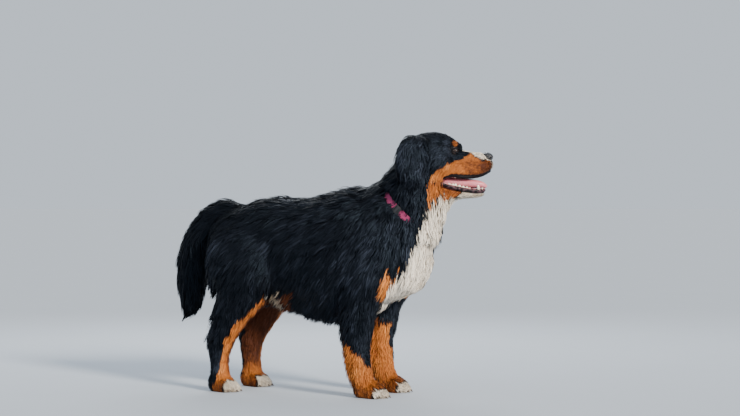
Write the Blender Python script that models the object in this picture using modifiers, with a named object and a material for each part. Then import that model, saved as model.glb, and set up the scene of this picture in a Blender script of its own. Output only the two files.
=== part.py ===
"""A standing bernese mountain dog, life size: flesh, long coat in locks, open mouth and a webbing collar.

The dog faces +X with its left side at +Y, and its paws stand on z = 0. Metres throughout.
The flesh is lofted through named body rings and softened into one form. Locks of hair are set on it along
the lie of the coat and fused, and thin cuts then part the whole into the nodes that a person would name.
"""

import math
import random
from collections import namedtuple

import bmesh
import bpy
import numpy as np
from mathutils import Matrix, Vector
from mathutils.bvhtree import BVHTree
from mathutils.geometry import intersect_ray_tri

# Driving sizes
OBJECT_NAME = "bernese_mountain_dog"
SEED = 7
GAP = 0.0003
CUT = 0.0004
FLAT_LEVEL = 0.009
TRUNK_VOXEL, TRUNK_SHARE = 0.006, 0.028
HEAD_VOXEL, HEAD_SHARE = 0.0035, 0.036
WHOLE_SHARE = 0.40

# How far the solid core of each part grows past its flesh, for the dense coat near the skin
BODY_CORE = 0.010
NECK_CORE = 0.016
LEG_CORE = 0.012
HEAD_CORE = 0.004
TAIL_CORE = 0.012

# The head turns left of the body line and tips its nose down a little
HEAD_AT = Vector((0.463, 0.043, 0.812))
HEAD_YAW = math.radians(18.0)
HEAD_PITCH = math.radians(0.4)
EYE_RADIUS = 0.0125
EYE_AT = Vector((-0.001, 0.0355, -0.001))
EYE_LOOKS = Vector((0.62, 0.78, 0.0))

# The collar is an oval band that slopes down to the throat
COLLAR_CENTRE = Vector((0.325, 0.004, 0.610))
COLLAR_SLOPE = math.radians(44.0)
COLLAR_LONG = 0.117
COLLAR_WIDE = 0.104
STRAP_WIDTH = 0.024
STRAP_THICKNESS = 0.0035
BUCKLE_THICKNESS = 0.007
BUCKLE_ARC = (-109.0, -91.0)

# Paws: middle and heel set-back of each, and the four toes side by side
HIND_STEP = 0.023
PAWS = {
    "forepaw_right": ((0.226, -0.100), 0.026),
    "forepaw_left": ((0.226, 0.100), 0.026),
    "hindpaw_right": ((-0.308, -0.099), 0.020),
    "hindpaw_left": ((-0.308 + HIND_STEP, 0.099), 0.020),
}
TOES = (-1.5, -0.5, 0.5, 1.5)
TOE_SPREAD = 0.0185
TOE_FAN = 9.0

# Locks: spacing, width and thickness, and their half width at each share of the length
LONG_COAT = 0.048
LOCK_SPACING = 0.066
LOCK_WIDTH, LOCK_THICK = 0.068, 0.011
LOCK_SWAY = 0.008
LOCK_STATIONS = ((0.0, 0.70), (0.28, 1.0), (0.58, 0.86), (0.83, 0.50), (1.0, 0.0))
LOCK_SINK = 0.006
LOCK_TURN = math.radians(32.0)
EASE_ROUNDS = 40
EAR_SPACING, EAR_LOCK_WIDTH, EAR_LOCK_THICK = 0.034, 0.032, 0.005
EAR_LIE, EAR_LENGTH, EAR_LIFT = Vector((-0.22, 0, -1)), 0.058, 0.007
EAR_SHARE = 0.6
TAIL_SPACING, TAIL_LOCK_WIDTH, TAIL_LOCK_THICK = 0.050, 0.044, 0.007
TAIL_LENGTH, TAIL_LIFT = 0.090, 0.012
TAIL_SHARE = 0.5
COAT_TOP = 0.775

# The cuts between nodes: outlines round legs and jaw in X and Z, and plates across neck and pasterns
ELBOW_CUT = [(0.030, -0.05), (0.360, -0.05), (0.360, 0.412), (0.080, 0.345)]
HIP_CUT = [(-0.500, -0.05), (-0.130, -0.05), (-0.078, 0.352), (-0.500, 0.545)]
JAW_CUT = [(-0.066, -0.180), (0.160, -0.190), (0.160, -0.112), (-0.066, -0.099)]
JAW_HALF = 0.09
LEG_INNER_FORE, LEG_INNER_HIND, LEG_OUTER = 0.042, 0.028, 0.300
NECK_CUT_CENTRE = (0.376, 0.020, 0.742)
NECK_CUT_SLOPE, NECK_CUT_TURN = 47.0, 12.0
PASTERN = 0.076

# The spaces for the ears and the tail: where each root ends, and slabs of height for the plume
HULL_ROOM = 0.0012
EAR_ROOT = 0.040
EAR_BARE = 0.022
TAIL_ROOT = -0.385
TAIL_OVERLAP = 0.03
TAIL_SLABS = ((0.50, 1.0), (0.38, 0.54), (0.0, 0.42))

Ring = namedtuple("Ring", "x y z deep wide")
Zone = namedtuple("Zone", "centre size turn")
Prism = namedtuple("Prism", "outline low high")
Hair = namedtuple("Hair", "start end reach lie length lift")

# Rings of the trunk from rump to breast: centre, half depth and half width of the flesh
TRUNK = [
    Ring(-0.350, 0, 0.566, 0.040, 0.044),
    Ring(-0.315, 0, 0.540, 0.085, 0.090),
    Ring(-0.255, 0, 0.508, 0.128, 0.116),
    Ring(-0.180, 0, 0.494, 0.145, 0.122),
    Ring(-0.090, 0, 0.488, 0.148, 0.118),
    Ring(0.000, 0, 0.476, 0.163, 0.130),
    Ring(0.085, 0, 0.468, 0.180, 0.140),
    Ring(0.160, 0, 0.474, 0.186, 0.140),
    Ring(0.235, 0, 0.480, 0.166, 0.130),
    Ring(0.290, 0, 0.464, 0.140, 0.112),
    Ring(0.335, 0, 0.450, 0.098, 0.084),
    Ring(0.358, 0, 0.450, 0.056, 0.052),
]

# Rings of the neck from the shoulders up to the skull
NECK = [
    Ring(0.190, 0.000, 0.535, 0.124, 0.112),
    Ring(0.256, 0.000, 0.574, 0.118, 0.102),
    Ring(0.312, 0.004, 0.630, 0.104, 0.090),
    Ring(0.345, 0.010, 0.695, 0.088, 0.080),
    Ring(0.362, 0.016, 0.752, 0.074, 0.070),
    Ring(0.372, 0.020, 0.800, 0.056, 0.058),
]

# Rings of a right foreleg from shoulder to pastern, and of a right hind leg from hip to pastern
FORELEG = [
    Ring(0.250, -0.088, 0.470, 0.066, 0.042),
    Ring(0.222, -0.102, 0.400, 0.066, 0.046),
    Ring(0.192, -0.108, 0.330, 0.052, 0.042),
    Ring(0.184, -0.106, 0.250, 0.040, 0.035),
    Ring(0.180, -0.102, 0.180, 0.033, 0.030),
    Ring(0.184, -0.100, 0.132, 0.032, 0.031),
    Ring(0.192, -0.099, 0.085, 0.028, 0.029),
    Ring(0.205, -0.099, 0.045, 0.026, 0.030),
]
HINDLEG = [
    Ring(-0.245, -0.078, 0.520, 0.098, 0.048),
    Ring(-0.238, -0.100, 0.440, 0.104, 0.052),
    Ring(-0.225, -0.108, 0.370, 0.076, 0.048),
    Ring(-0.262, -0.106, 0.285, 0.050, 0.038),
    Ring(-0.304, -0.102, 0.205, 0.034, 0.028),
    Ring(-0.322, -0.099, 0.160, 0.031, 0.025),
    Ring(-0.322, -0.098, 0.100, 0.024, 0.024),
    Ring(-0.318, -0.098, 0.050, 0.026, 0.028),
]

# A breast of muscle joins the neck to the trunk
BREAST = ((0.302, 0.0, 0.525), (0.090, 0.094, 0.120))

# The coat of the right side: along each line the hair lies this way, is this long and lifts this much
COAT = [
    Hair((-0.30, -0.03, 0.63), (0.05, -0.04, 0.65), 0.09, (-1.0, -0.25, -0.15), 0.085, 0.016),
    Hair((0.10, -0.03, 0.66), (0.20, -0.03, 0.68), 0.09, (-1.0, -0.30, -0.05), 0.090, 0.024),
    Hair((-0.24, -0.13, 0.54), (0.12, -0.15, 0.56), 0.09, (-0.80, -0.05, -0.62), 0.095, 0.016),
    Hair((-0.10, -0.13, 0.42), (0.10, -0.14, 0.42), 0.09, (-0.62, 0.00, -0.80), 0.095, 0.016),
    Hair((-0.11, -0.06, 0.36), (0.12, -0.06, 0.30), 0.08, (-0.60, 0.10, -0.80), 0.085, 0.034),
    Hair((0.16, -0.14, 0.58), (0.20, -0.14, 0.45), 0.09, (-0.50, -0.02, -0.86), 0.090, 0.016),
    Hair((0.30, -0.08, 0.58), (0.32, -0.06, 0.44), 0.08, (-0.05, -0.05, -1.00), 0.100, 0.020),
    Hair((0.30, -0.02, 0.40), (0.26, -0.02, 0.35), 0.07, (-0.30, 0.00, -0.95), 0.085, 0.022),
    Hair((0.26, -0.08, 0.70), (0.22, -0.09, 0.62), 0.08, (-0.80, -0.10, -0.60), 0.095, 0.022),
    Hair((0.36, -0.08, 0.72), (0.33, -0.10, 0.62), 0.08, (-0.35, -0.05, -0.93), 0.095, 0.020),
    Hair((0.43, -0.03, 0.66), (0.40, -0.03, 0.56), 0.07, (-0.10, -0.02, -1.00), 0.095, 0.020),
    Hair((-0.28, -0.14, 0.47), (-0.24, -0.15, 0.38), 0.08, (-0.55, -0.05, -0.83), 0.090, 0.016),
    Hair((-0.35, -0.10, 0.50), (-0.35, -0.11, 0.30), 0.07, (-0.55, 0.05, -0.83), 0.095, 0.026),
    Hair((-0.33, -0.11, 0.27), (-0.36, -0.10, 0.20), 0.05, (-0.40, 0.00, -0.90), 0.060, 0.016),
    Hair((-0.18, -0.13, 0.36), (-0.26, -0.12, 0.24), 0.06, (-0.35, 0.00, -0.93), 0.040, 0.010),
    Hair((-0.33, -0.10, 0.16), (-0.33, -0.10, 0.06), 0.05, (-0.20, 0.00, -1.00), 0.030, 0.008),
    Hair((0.13, -0.12, 0.34), (0.12, -0.11, 0.22), 0.05, (-0.45, 0.00, -0.90), 0.070, 0.022),
    Hair((0.14, -0.11, 0.20), (0.15, -0.10, 0.11), 0.04, (-0.40, 0.00, -0.90), 0.050, 0.014),
    Hair((0.22, -0.11, 0.36), (0.21, -0.10, 0.24), 0.05, (-0.05, 0.00, -1.00), 0.040, 0.008),
    Hair((0.21, -0.10, 0.20), (0.22, -0.10, 0.06), 0.05, (0.00, 0.00, -1.00), 0.020, 0.004),
    Hair((0.24, -0.10, 0.03), (0.28, -0.10, 0.02), 0.05, (0.80, 0.00, -0.60), 0.010, 0.002),
    Hair((-0.30, -0.10, 0.03), (-0.25, -0.10, 0.02), 0.05, (0.80, 0.00, -0.60), 0.010, 0.002),
]

# The tail hangs from the croup in one soft bend
TAIL = [
    Ring(-0.300, 0.000, 0.590, 0.036, 0.036),
    Ring(-0.350, 0.000, 0.600, 0.034, 0.034),
    Ring(-0.402, 0.000, 0.572, 0.034, 0.032),
    Ring(-0.445, 0.000, 0.512, 0.037, 0.032),
    Ring(-0.468, 0.000, 0.437, 0.038, 0.031),
    Ring(-0.476, 0.000, 0.362, 0.032, 0.026),
    Ring(-0.480, 0.000, 0.306, 0.018, 0.016),
]

# Colour and roughness of the nodes, by name or by the name without its side. All others are black coat
LOOKS = {
    "coat": ((0.018, 0.018, 0.022), 0.75),
    "foreleg": ((0.42, 0.17, 0.05), 0.75),
    "hindpaw": ((0.60, 0.50, 0.42), 0.75),
    "forepaw": ((0.60, 0.50, 0.42), 0.75),
    "lower_jaw": ((0.62, 0.52, 0.44), 0.70),
    "eye": ((0.035, 0.015, 0.008), 0.08),
    "nose": ((0.012, 0.012, 0.014), 0.35),
    "tongue": ((0.62, 0.25, 0.27), 0.35),
    "collar_strap": ((0.25, 0.03, 0.10), 0.80),
    "collar_buckle": ((0.015, 0.015, 0.017), 0.40),
}

# The smooth round nodes, shaded smooth; the coat and the buckle are faceted
ROUND = ("eye", "nose", "tongue", "collar_strap")

# A point in the middle of each node that the cuts part
ANCHORS = {
    "torso": (0.00, 0.00, 0.49),
    "neck": (0.34, 0.01, 0.68),
    "head": (0.42, 0.03, 0.80),
    "lower_jaw": (0.50, 0.05, 0.69),
    "foreleg_right": (0.17, -0.10, 0.25),
    "foreleg_left": (0.17, 0.10, 0.25),
    "hindleg_right": (-0.27, -0.10, 0.35),
    "hindleg_left": (-0.24, 0.10, 0.35),
    "forepaw_right": (0.22, -0.10, 0.03),
    "forepaw_left": (0.22, 0.10, 0.03),
    "hindpaw_right": (-0.30, -0.10, 0.03),
    "hindpaw_left": (-0.24, 0.10, 0.03),
}


def material(name, colour, roughness=0.7):
    found = bpy.data.materials.new(name)
    found.use_nodes = True
    shader = found.node_tree.nodes["Principled BSDF"]
    shader.inputs["Base Color"].default_value = (*colour, 1.0)
    shader.inputs["Roughness"].default_value = roughness
    shader.inputs["Metallic"].default_value = 0.0
    return found


def clear_scene():
    for obj in list(bpy.data.objects):
        bpy.data.objects.remove(obj)


def new_object(name, points, faces, collection=None):
    """A closed mesh object with its faces turned outward."""
    mesh = bpy.data.meshes.new(name)
    mesh.from_pydata([tuple(p) for p in points], [], faces)
    mesh.validate()
    bm = bmesh.new()
    bm.from_mesh(mesh)
    bmesh.ops.recalc_face_normals(bm, faces=bm.faces)
    bmesh.ops.triangulate(bm, faces=bm.faces)
    if bm.calc_volume(signed=True) < 0:
        bmesh.ops.reverse_faces(bm, faces=bm.faces)
    bm.to_mesh(mesh)
    bm.free()
    obj = bpy.data.objects.new(name, mesh)
    (collection or bpy.context.scene.collection).objects.link(obj)
    return obj


def smooth_row(values, steps):
    """Values between the given rows on one smooth (Catmull-Rom) curve."""
    rows = np.array(values, float)
    ends = np.vstack([2 * rows[0] - rows[1], rows, 2 * rows[-1] - rows[-2]])
    made = []
    for i in range(len(rows) - 1):
        a, b, c, d = ends[i : i + 4]
        for s in range(steps):
            t = s / steps
            bend, twist = 2 * a - 5 * b + 4 * c - d, 3 * b - a - 3 * c + d
            made.append(0.5 * (2 * b + (c - a) * t + bend * t**2 + twist * t**3))
    made.append(rows[-1])
    return np.array(made)


def loft_shape(rings, sides=20, steps=3, grow=0.0, across=Vector((0, 1, 0)), full=2.2):
    """Points and faces of a closed form through the rings, with rounded ends."""
    rows = smooth_row(rings, steps)
    grown = np.interp(np.arange(len(rows)) / steps, np.arange(len(rings)), grow * np.ones(len(rings)))
    rows[:, 3:] = np.maximum(rows[:, 3:], 0.002) + grown[:, None]
    spine = rows[:, :3]
    along = np.gradient(spine, axis=0)
    along /= np.linalg.norm(along, axis=1)[:, None]
    first, last = rows[0], rows[-1]
    shrink = [math.radians(a) for a in (25, 55, 78)]
    stack = []
    for a in reversed(shrink):
        reach = 0.6 * min(first[3], first[4]) * math.sin(a)
        stack.append((spine[0] - along[0] * reach, along[0], first[3] * math.cos(a), first[4] * math.cos(a)))
    stack += [(spine[i], along[i], rows[i][3], rows[i][4]) for i in range(len(rows))]
    for a in shrink:
        reach = 0.6 * min(last[3], last[4]) * math.sin(a)
        stack.append((spine[-1] + along[-1] * reach, along[-1], last[3] * math.cos(a), last[4] * math.cos(a)))
    points = []
    for centre, tangent, deep, wide in stack:
        tangent = Vector(tangent)
        side = (across - tangent * across.dot(tangent)).normalized()
        up = tangent.cross(side)
        for k in range(sides):
            a = 2 * math.pi * k / sides
            c, s = math.cos(a), math.sin(a)
            c = math.copysign(abs(c) ** (2 / full), c)
            s = math.copysign(abs(s) ** (2 / full), s)
            points.append(Vector(centre) + side * (wide * c) + up * (deep * s))
    faces = []
    for i in range(len(stack) - 1):
        for k in range(sides):
            n = (k + 1) % sides
            faces.append((i * sides + k, i * sides + n, (i + 1) * sides + n, (i + 1) * sides + k))
    faces.append(tuple(range(sides)))
    faces.append(tuple((len(stack) - 1) * sides + k for k in reversed(range(sides))))
    return points, faces


def loft(name, rings, place=Matrix.Identity(4), collection=None, **how):
    points, faces = loft_shape(rings, **how)
    return new_object(name, [place @ p for p in points], faces, collection)


def ball(name, centre, radii, place=Matrix.Identity(4), collection=None, segments=20):
    """An egg: a sphere stretched to its three half sizes."""
    bm = bmesh.new()
    stretch = Matrix.Diagonal((*radii, 1.0))
    bmesh.ops.create_uvsphere(
        bm, u_segments=segments, v_segments=segments // 2, radius=1.0,
        matrix=place @ Matrix.Translation(centre) @ stretch,
    )
    mesh = bpy.data.meshes.new(name)
    bm.to_mesh(mesh)
    bm.free()
    obj = bpy.data.objects.new(name, mesh)
    (collection or bpy.context.scene.collection).objects.link(obj)
    return obj


def box(name, zone, grow=0.0, collection=None, place=Matrix.Identity(4)):
    """A box with its turn given in degrees about X, Y and Z."""
    turn = Matrix.Identity(4)
    for axis, degrees in zip("XYZ", zone.turn):
        turn = Matrix.Rotation(math.radians(degrees), 4, axis) @ turn
    size = [s + 2 * grow for s in zone.size]
    bm = bmesh.new()
    bmesh.ops.create_cube(
        bm, size=1.0, matrix=place @ Matrix.Translation(zone.centre) @ turn @ Matrix.Diagonal((*size, 1.0))
    )
    mesh = bpy.data.meshes.new(name)
    bm.to_mesh(mesh)
    bm.free()
    obj = bpy.data.objects.new(name, mesh)
    (collection or bpy.context.scene.collection).objects.link(obj)
    return obj


def head_place():
    """Where the head's own frame sits: its origin is between the eyes, with +X along the muzzle."""
    return (
        Matrix.Translation(HEAD_AT)
        @ Matrix.Rotation(HEAD_YAW, 4, "Z")
        @ Matrix.Rotation(HEAD_PITCH, 4, "Y")
    )


def mirrored(rings, forward=0.0):
    """The same leg on the other side, its foot set forward and its root left in place."""
    top = rings[0].z
    return [
        r._replace(y=-r.y, x=r.x + forward * min(1.0, (top - r.z) / (0.75 * top)))
        for r in rings
    ]


def fused(name, objects, voxel, smooth, keep):
    """Objects made one soft form: remeshed together, smoothed, and thinned to a share of its triangles."""
    bpy.ops.object.select_all(action="DESELECT")
    for obj in objects:
        obj.select_set(True)
    bpy.context.view_layer.objects.active = objects[0]
    bpy.ops.object.join()
    whole = bpy.context.view_layer.objects.active
    whole.name = name
    remesh = whole.modifiers.new("one_skin", "REMESH")
    remesh.mode = "VOXEL"
    remesh.voxel_size = voxel
    soften = whole.modifiers.new("soften", "SMOOTH")
    soften.factor = 0.5
    soften.iterations = smooth
    thin = whole.modifiers.new("thin", "DECIMATE")
    thin.ratio = keep
    thin.use_collapse_triangulate = True
    return applied(whole)


def thinned(obj, keep):
    """The object with the slivers that a union leaves collapsed, down to a share of its triangles."""
    thin = obj.modifiers.new("thin", "DECIMATE")
    thin.ratio = keep
    thin.use_collapse_triangulate = True
    return applied(obj)


def pierces(start, end, face):
    """Whether the line between two points goes through a triangle."""
    run = end.co - start.co
    hit = intersect_ray_tri(*(v.co for v in face.verts), run, start.co, True)
    return hit is not None and 1e-6 < (hit - start.co).dot(run) / run.length_squared < 1


def faces_cross(first, second):
    """Whether two triangles cross. Those that share an edge, or that only touch at a shared corner, don't."""
    shared = set(first.verts) & set(second.verts)
    if len(shared) != 1:
        return not shared
    ours = [v for v in first.verts if v not in shared]
    theirs = [v for v in second.verts if v not in shared]
    return pierces(*ours, second) or pierces(*theirs, first)


def crossing_corners(bm):
    """The vertices of every pair of faces that cross."""
    bm.faces.ensure_lookup_table()
    tree = BVHTree.FromBMesh(bm)
    found = set()
    for i, k in tree.overlap(tree):
        if i < k and faces_cross(bm.faces[i], bm.faces[k]):
            found |= set(bm.faces[i].verts) | set(bm.faces[k].verts)
    return found


def eased(obj):
    """The surface with faces that cross one another smoothed apart."""
    bm = bmesh.new()
    bm.from_mesh(obj.data)
    bmesh.ops.triangulate(bm, faces=bm.faces)
    for _ in range(EASE_ROUNDS):
        corners = crossing_corners(bm)
        if not corners:
            break
        axes = {"use_axis_x": True, "use_axis_y": True, "use_axis_z": True}
        bmesh.ops.smooth_vert(bm, verts=list(corners), factor=0.4, **axes)
    bm.to_mesh(obj.data)
    bm.free()
    return obj


def applied(obj):
    """The object with its modifiers made part of its mesh."""
    graph = bpy.context.evaluated_depsgraph_get()
    mesh = bpy.data.meshes.new_from_object(obj.evaluated_get(graph))
    obj.modifiers.clear()
    obj.data = mesh
    return obj


def toe_place(x, y, share):
    """Where a toe turns from, and how far forward it reaches: the two middle toes reach further."""
    turn = Matrix.Translation((x, y, 0)) @ Matrix.Rotation(math.radians(TOE_FAN * share), 4, "Z")
    return turn, (0.044 if abs(share) < 1 else 0.029)


def paw_shapes(name, centre, heel):
    """A furry paw: a pad body, four knuckled toes and the heel, standing on z = 0."""
    x, y = centre
    parts = [
        ball(name + "_body", (x, y, 0.031), (0.040, 0.035, 0.030)),
        ball(name + "_heel", (x - heel, y, 0.037), (0.031, 0.031, 0.034)),
    ]
    for i, share in enumerate(TOES):
        turn, reach = toe_place(x, y, share)
        side = share * TOE_SPREAD
        knuckle, toe = (reach * 0.6, side, 0.030), (reach, side * 1.03, 0.019)
        parts.append(ball(f"{name}_knuckle_{i}", knuckle, (0.021, 0.011, 0.021), turn, segments=14))
        parts.append(ball(f"{name}_toe_{i}", toe, (0.015, 0.0102, 0.016), turn, segments=14))
    return parts


def body_flesh():
    """Trunk, neck, legs and paws, before they are fused."""
    parts = [
        loft("trunk", TRUNK, grow=BODY_CORE, sides=28, steps=3, full=2.3),
        loft("neck", NECK, grow=NECK_CORE, sides=24, steps=3),
        ball("breast", BREAST[0], [r + BODY_CORE for r in BREAST[1]], segments=24),
    ]
    for name, rings in (("foreleg_right", FORELEG), ("foreleg_left", mirrored(FORELEG))):
        parts.append(loft(name, rings, grow=LEG_CORE))
    for name, rings in (("hindleg_right", HINDLEG), ("hindleg_left", mirrored(HINDLEG, HIND_STEP))):
        parts.append(loft(name, rings, grow=LEG_CORE))
    for name, (centre, heel) in PAWS.items():
        parts += paw_shapes(name, centre, heel)
    return parts


def head_flesh(place):
    """Skull, cheeks, brows, muzzle with hanging lips, and the open lower jaw, in the head's own frame."""

    def egg(name, centre, radii):
        return ball(name, centre, radii, place, segments=24)

    g = HEAD_CORE
    parts = [
        egg("skull", (-0.072, 0, -0.002), (0.086, 0.069, 0.059)),
        egg("back_skull", (-0.112, 0, -0.012), (0.050, 0.060, 0.052)),
        egg("throat", (-0.085, 0, -0.075), (0.062, 0.052, 0.062)),
    ]
    for s in (-1, 1):
        parts += [
            egg(f"brow_{s}", (-0.016, s * 0.022, 0.005), (0.037, 0.028, 0.031)),
            egg(f"cheek_{s}", (-0.062, s * 0.043, -0.046), (0.060, 0.031, 0.048)),
            egg(f"under_eye_{s}", (0.012, s * 0.025, -0.032), (0.052, 0.023, 0.029)),
        ]
    muzzle = [
        Ring(-0.020, 0, -0.036, 0.038, 0.044),
        Ring(0.020, 0, -0.036, 0.033, 0.040),
        Ring(0.055, 0, -0.036, 0.0305, 0.0375),
        Ring(0.085, 0, -0.036, 0.0295, 0.036),
        Ring(0.106, 0, -0.038, 0.0255, 0.030),
    ]
    parts.append(loft("muzzle", muzzle, place, full=2.3, grow=g * 0.5))
    for s in (-1, 1):
        lip = [
            Ring(-0.036, s * 0.040, -0.066, 0.016, 0.010),
            Ring(0.000, s * 0.038, -0.068, 0.020, 0.010),
            Ring(0.040, s * 0.034, -0.068, 0.021, 0.010),
            Ring(0.075, s * 0.028, -0.064, 0.021, 0.011),
            Ring(0.100, s * 0.016, -0.058, 0.018, 0.011),
            Ring(0.110, s * 0.004, -0.056, 0.014, 0.009),
        ]
        parts.append(loft(f"lip_{s}", lip, place, sides=14, grow=g * 0.4))
    parts.append(loft("jaw", jaw_rings(), place, sides=18, full=2.4, grow=g * 0.5))
    for s in (-1, 1):
        jowl = [
            Ring(-0.064, s * 0.040, -0.088, 0.020, 0.012),
            Ring(-0.044, s * 0.040, -0.106, 0.016, 0.009),
            Ring(-0.010, s * 0.037, -0.116, 0.012, 0.007),
            Ring(0.030, s * 0.032, -0.122, 0.010, 0.006),
            Ring(0.070, s * 0.024, -0.125, 0.009, 0.006),
            Ring(0.092, s * 0.010, -0.126, 0.008, 0.005),
        ]
        parts.append(loft(f"jowl_{s}", jowl, place, sides=12, grow=g * 0.3))
    return parts


def jaw_rings():
    """The lower jaw from its hinge to the chin, in the head's own frame."""
    return [
        Ring(-0.085, 0, -0.106, 0.032, 0.042),
        Ring(-0.050, 0, -0.122, 0.024, 0.039),
        Ring(-0.010, 0, -0.131, 0.017, 0.035),
        Ring(0.030, 0, -0.135, 0.014, 0.031),
        Ring(0.070, 0, -0.134, 0.013, 0.025),
        Ring(0.093, 0, -0.131, 0.010, 0.016),
    ]


def mirrored_coat():
    """The coat rule with its left side added."""

    def over(v):
        return (v[0], -v[1], v[2])

    return COAT + [h._replace(start=over(h.start), end=over(h.end), lie=over(h.lie)) for h in COAT]


def coat_at(point, coat):
    """The lie, length and lift of the hair at a point, blended from the nearest lines of the coat rule."""
    total, lie, length, lift = 0.0, Vector(), 0.0, 0.0
    for hair in coat:
        start, end = Vector(hair.start), Vector(hair.end)
        run = end - start
        t = max(0.0, min(1.0, (point - start).dot(run) / run.length_squared))
        away = (point - start - run * t).length / hair.reach
        weight = 1.0 / (0.05 + away**4)
        total += weight
        lie += Vector(hair.lie) * weight
        length += hair.length * weight
        lift += hair.lift * weight
    return lie.normalized(), length / total, lift / total


def turned_towards(old, new, most):
    """A direction turned from the old one towards the new one, by no more than some angle."""
    angle = old.angle(new)
    if angle < 1e-4:
        return new.copy()
    return old.slerp(new, min(1.0, most / angle)).normalized()


def lock_spine(surface, root, lie, length, lift, wave):
    """Centres, normals and sideways directions down a lock, which follows the surface and never folds."""
    near, normal, _, _ = surface.find_nearest(root)
    along = (lie - normal * lie.dot(normal)).normalized()
    spine = []
    place, gone = near, 0.0
    for share, _ in LOCK_STATIONS:
        if share > 0:
            place = place + along * ((share - gone) * length)
            near, under, _, _ = surface.find_nearest(place)
            normal = turned_towards(normal, under, LOCK_TURN)
            along = turned_towards(along, (lie - normal * lie.dot(normal)).normalized(), LOCK_TURN)
            along = (along - normal * along.dot(normal)).normalized()
            if (near - place).length < 0.012:
                place = place.lerp(near, 0.8)
        gone = share
        side = normal.cross(along)
        height = -LOCK_SINK + (lift + LOCK_SINK) * share**1.3
        sway = wave * math.sin(math.pi * 1.6 * share)
        spine.append((place + normal * height + side * sway, normal, side))
    return spine


def lock_shape(surface, root, lie, length, width, thick, lift, wave):
    """A flat tapered lock with a ridge down its back, which leaves the surface and bends along it."""
    points, faces = [], []
    spine = lock_spine(surface, root, lie, length, lift, wave)
    for (centre, normal, side), (share, girth) in zip(spine, LOCK_STATIONS[:-1]):
        half = width * 0.5 * girth
        ridge = thick * (0.75 + 0.25 * girth)
        points += [centre - side * half, centre + normal * ridge, centre + side * half]
    points.append(spine[-1][0])
    rows = len(LOCK_STATIONS) - 1
    for i in range(rows - 1):
        for k in range(3):
            n = (k + 1) % 3
            faces.append((i * 3 + k, i * 3 + n, (i + 1) * 3 + n, (i + 1) * 3 + k))
    last = (rows - 1) * 3
    faces += [(last + k, last + (k + 1) % 3, rows * 3) for k in range(3)]
    faces.append((0, 2, 1))
    return points, faces


def surface_of(obj):
    """A searchable copy of an object's surface, in world space."""
    points = [obj.matrix_world @ v.co for v in obj.data.vertices]
    return BVHTree.FromPolygons(points, [tuple(p.vertices) for p in obj.data.polygons])


def spread_roots(obj, spacing_at, rng, tries=30000):
    """Points spread evenly over the object, none nearer another than the spacing there, and none at None."""
    obj.data.calc_loop_triangles()
    places = [obj.matrix_world @ v.co for v in obj.data.vertices]
    corners = [[places[i] for i in t.vertices] for t in obj.data.loop_triangles]
    areas = np.cumsum([(b - a).cross(c - a).length for a, b, c in corners])
    kept = []
    for _ in range(tries):
        a, b, c = corners[int(np.searchsorted(areas, rng.random() * areas[-1]))]
        u, v = rng.random(), rng.random()
        if u + v > 1:
            u, v = 1 - u, 1 - v
        point = a + (b - a) * u + (c - a) * v
        spacing = spacing_at(point, (b - a).cross(c - a).normalized())
        if spacing is None:
            continue
        if all((point - other).length_squared > spacing**2 for other in kept):
            kept.append(point)
    return kept


def locks_on(obj, roots, rule, rng, width, thick):
    """The lock of every root, as one list of shapes."""
    surface = surface_of(obj)
    made = []
    for root in roots:
        lie, length, lift = rule(root)
        shape = lock_shape(
            surface, root, lie,
            length * rng.uniform(0.85, 1.15), width * rng.uniform(0.85, 1.15),
            thick, lift * rng.uniform(0.8, 1.2), rng.uniform(-LOCK_SWAY, LOCK_SWAY),
        )
        made.append(shape)
    return made


def union(obj, shapes):
    """The object and the closed shapes as one body, which keeps only its largest closed surface."""
    gathered = bpy.data.collections.new("to_join")
    bpy.context.scene.collection.children.link(gathered)
    for i, (points, faces) in enumerate(shapes):
        new_object(f"piece_{i}", points, faces, gathered)
    return boolean(obj, gathered, "UNION")


def boolean(obj, gathered, operation):
    """A union or difference with everything in a collection, applied, and the collection removed."""
    modifier = obj.modifiers.new(operation.lower(), "BOOLEAN")
    modifier.operation = operation
    modifier.operand_type = "COLLECTION"
    modifier.collection = gathered
    modifier.solver = "MANIFOLD"
    applied(obj)
    for piece in list(gathered.objects):
        bpy.data.objects.remove(piece)
    bpy.data.collections.remove(gathered)
    return obj


def loose_parts(obj):
    """The closed surfaces of a mesh, each as (volume, centre, set of face indices), largest first."""
    bm = bmesh.new()
    bm.from_mesh(obj.data)
    bm.faces.ensure_lookup_table()
    seen, parts = set(), []
    for face in bm.faces:
        if face.index in seen:
            continue
        group, stack = [], [face]
        seen.add(face.index)
        while stack:
            here = stack.pop()
            group.append(here)
            for edge in here.edges:
                for other in edge.link_faces:
                    if other.index not in seen:
                        seen.add(other.index)
                        stack.append(other)
        volume, weighted = 0.0, Vector()
        for f in group:
            corners = [v.co for v in f.verts]
            for b, c in zip(corners[1:], corners[2:]):
                piece = corners[0].dot(b.cross(c)) / 6.0
                volume += piece
                weighted += (corners[0] + b + c) / 4.0 * piece
        centre = weighted / volume if abs(volume) > 1e-12 else Vector()
        parts.append((volume, centre, [f.index for f in group]))
    bm.free()
    return sorted(parts, key=lambda p: -p[0])


def part_of(obj, name, faces):
    """A new object from some of a mesh's faces."""
    used, new_faces = {}, []
    for i in faces:
        new_faces.append([used.setdefault(v, len(used)) for v in obj.data.polygons[i].vertices])
    points = [obj.data.vertices[v].co for v in used]
    return new_object(name, points, new_faces)


def largest(obj):
    """The object with only its largest closed surface kept."""
    parts = loose_parts(obj)
    if len(parts) == 1:
        return obj
    kept = part_of(obj, obj.name + "_kept", parts[0][2])
    obj.data = kept.data
    bpy.data.objects.remove(kept)
    return obj


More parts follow.
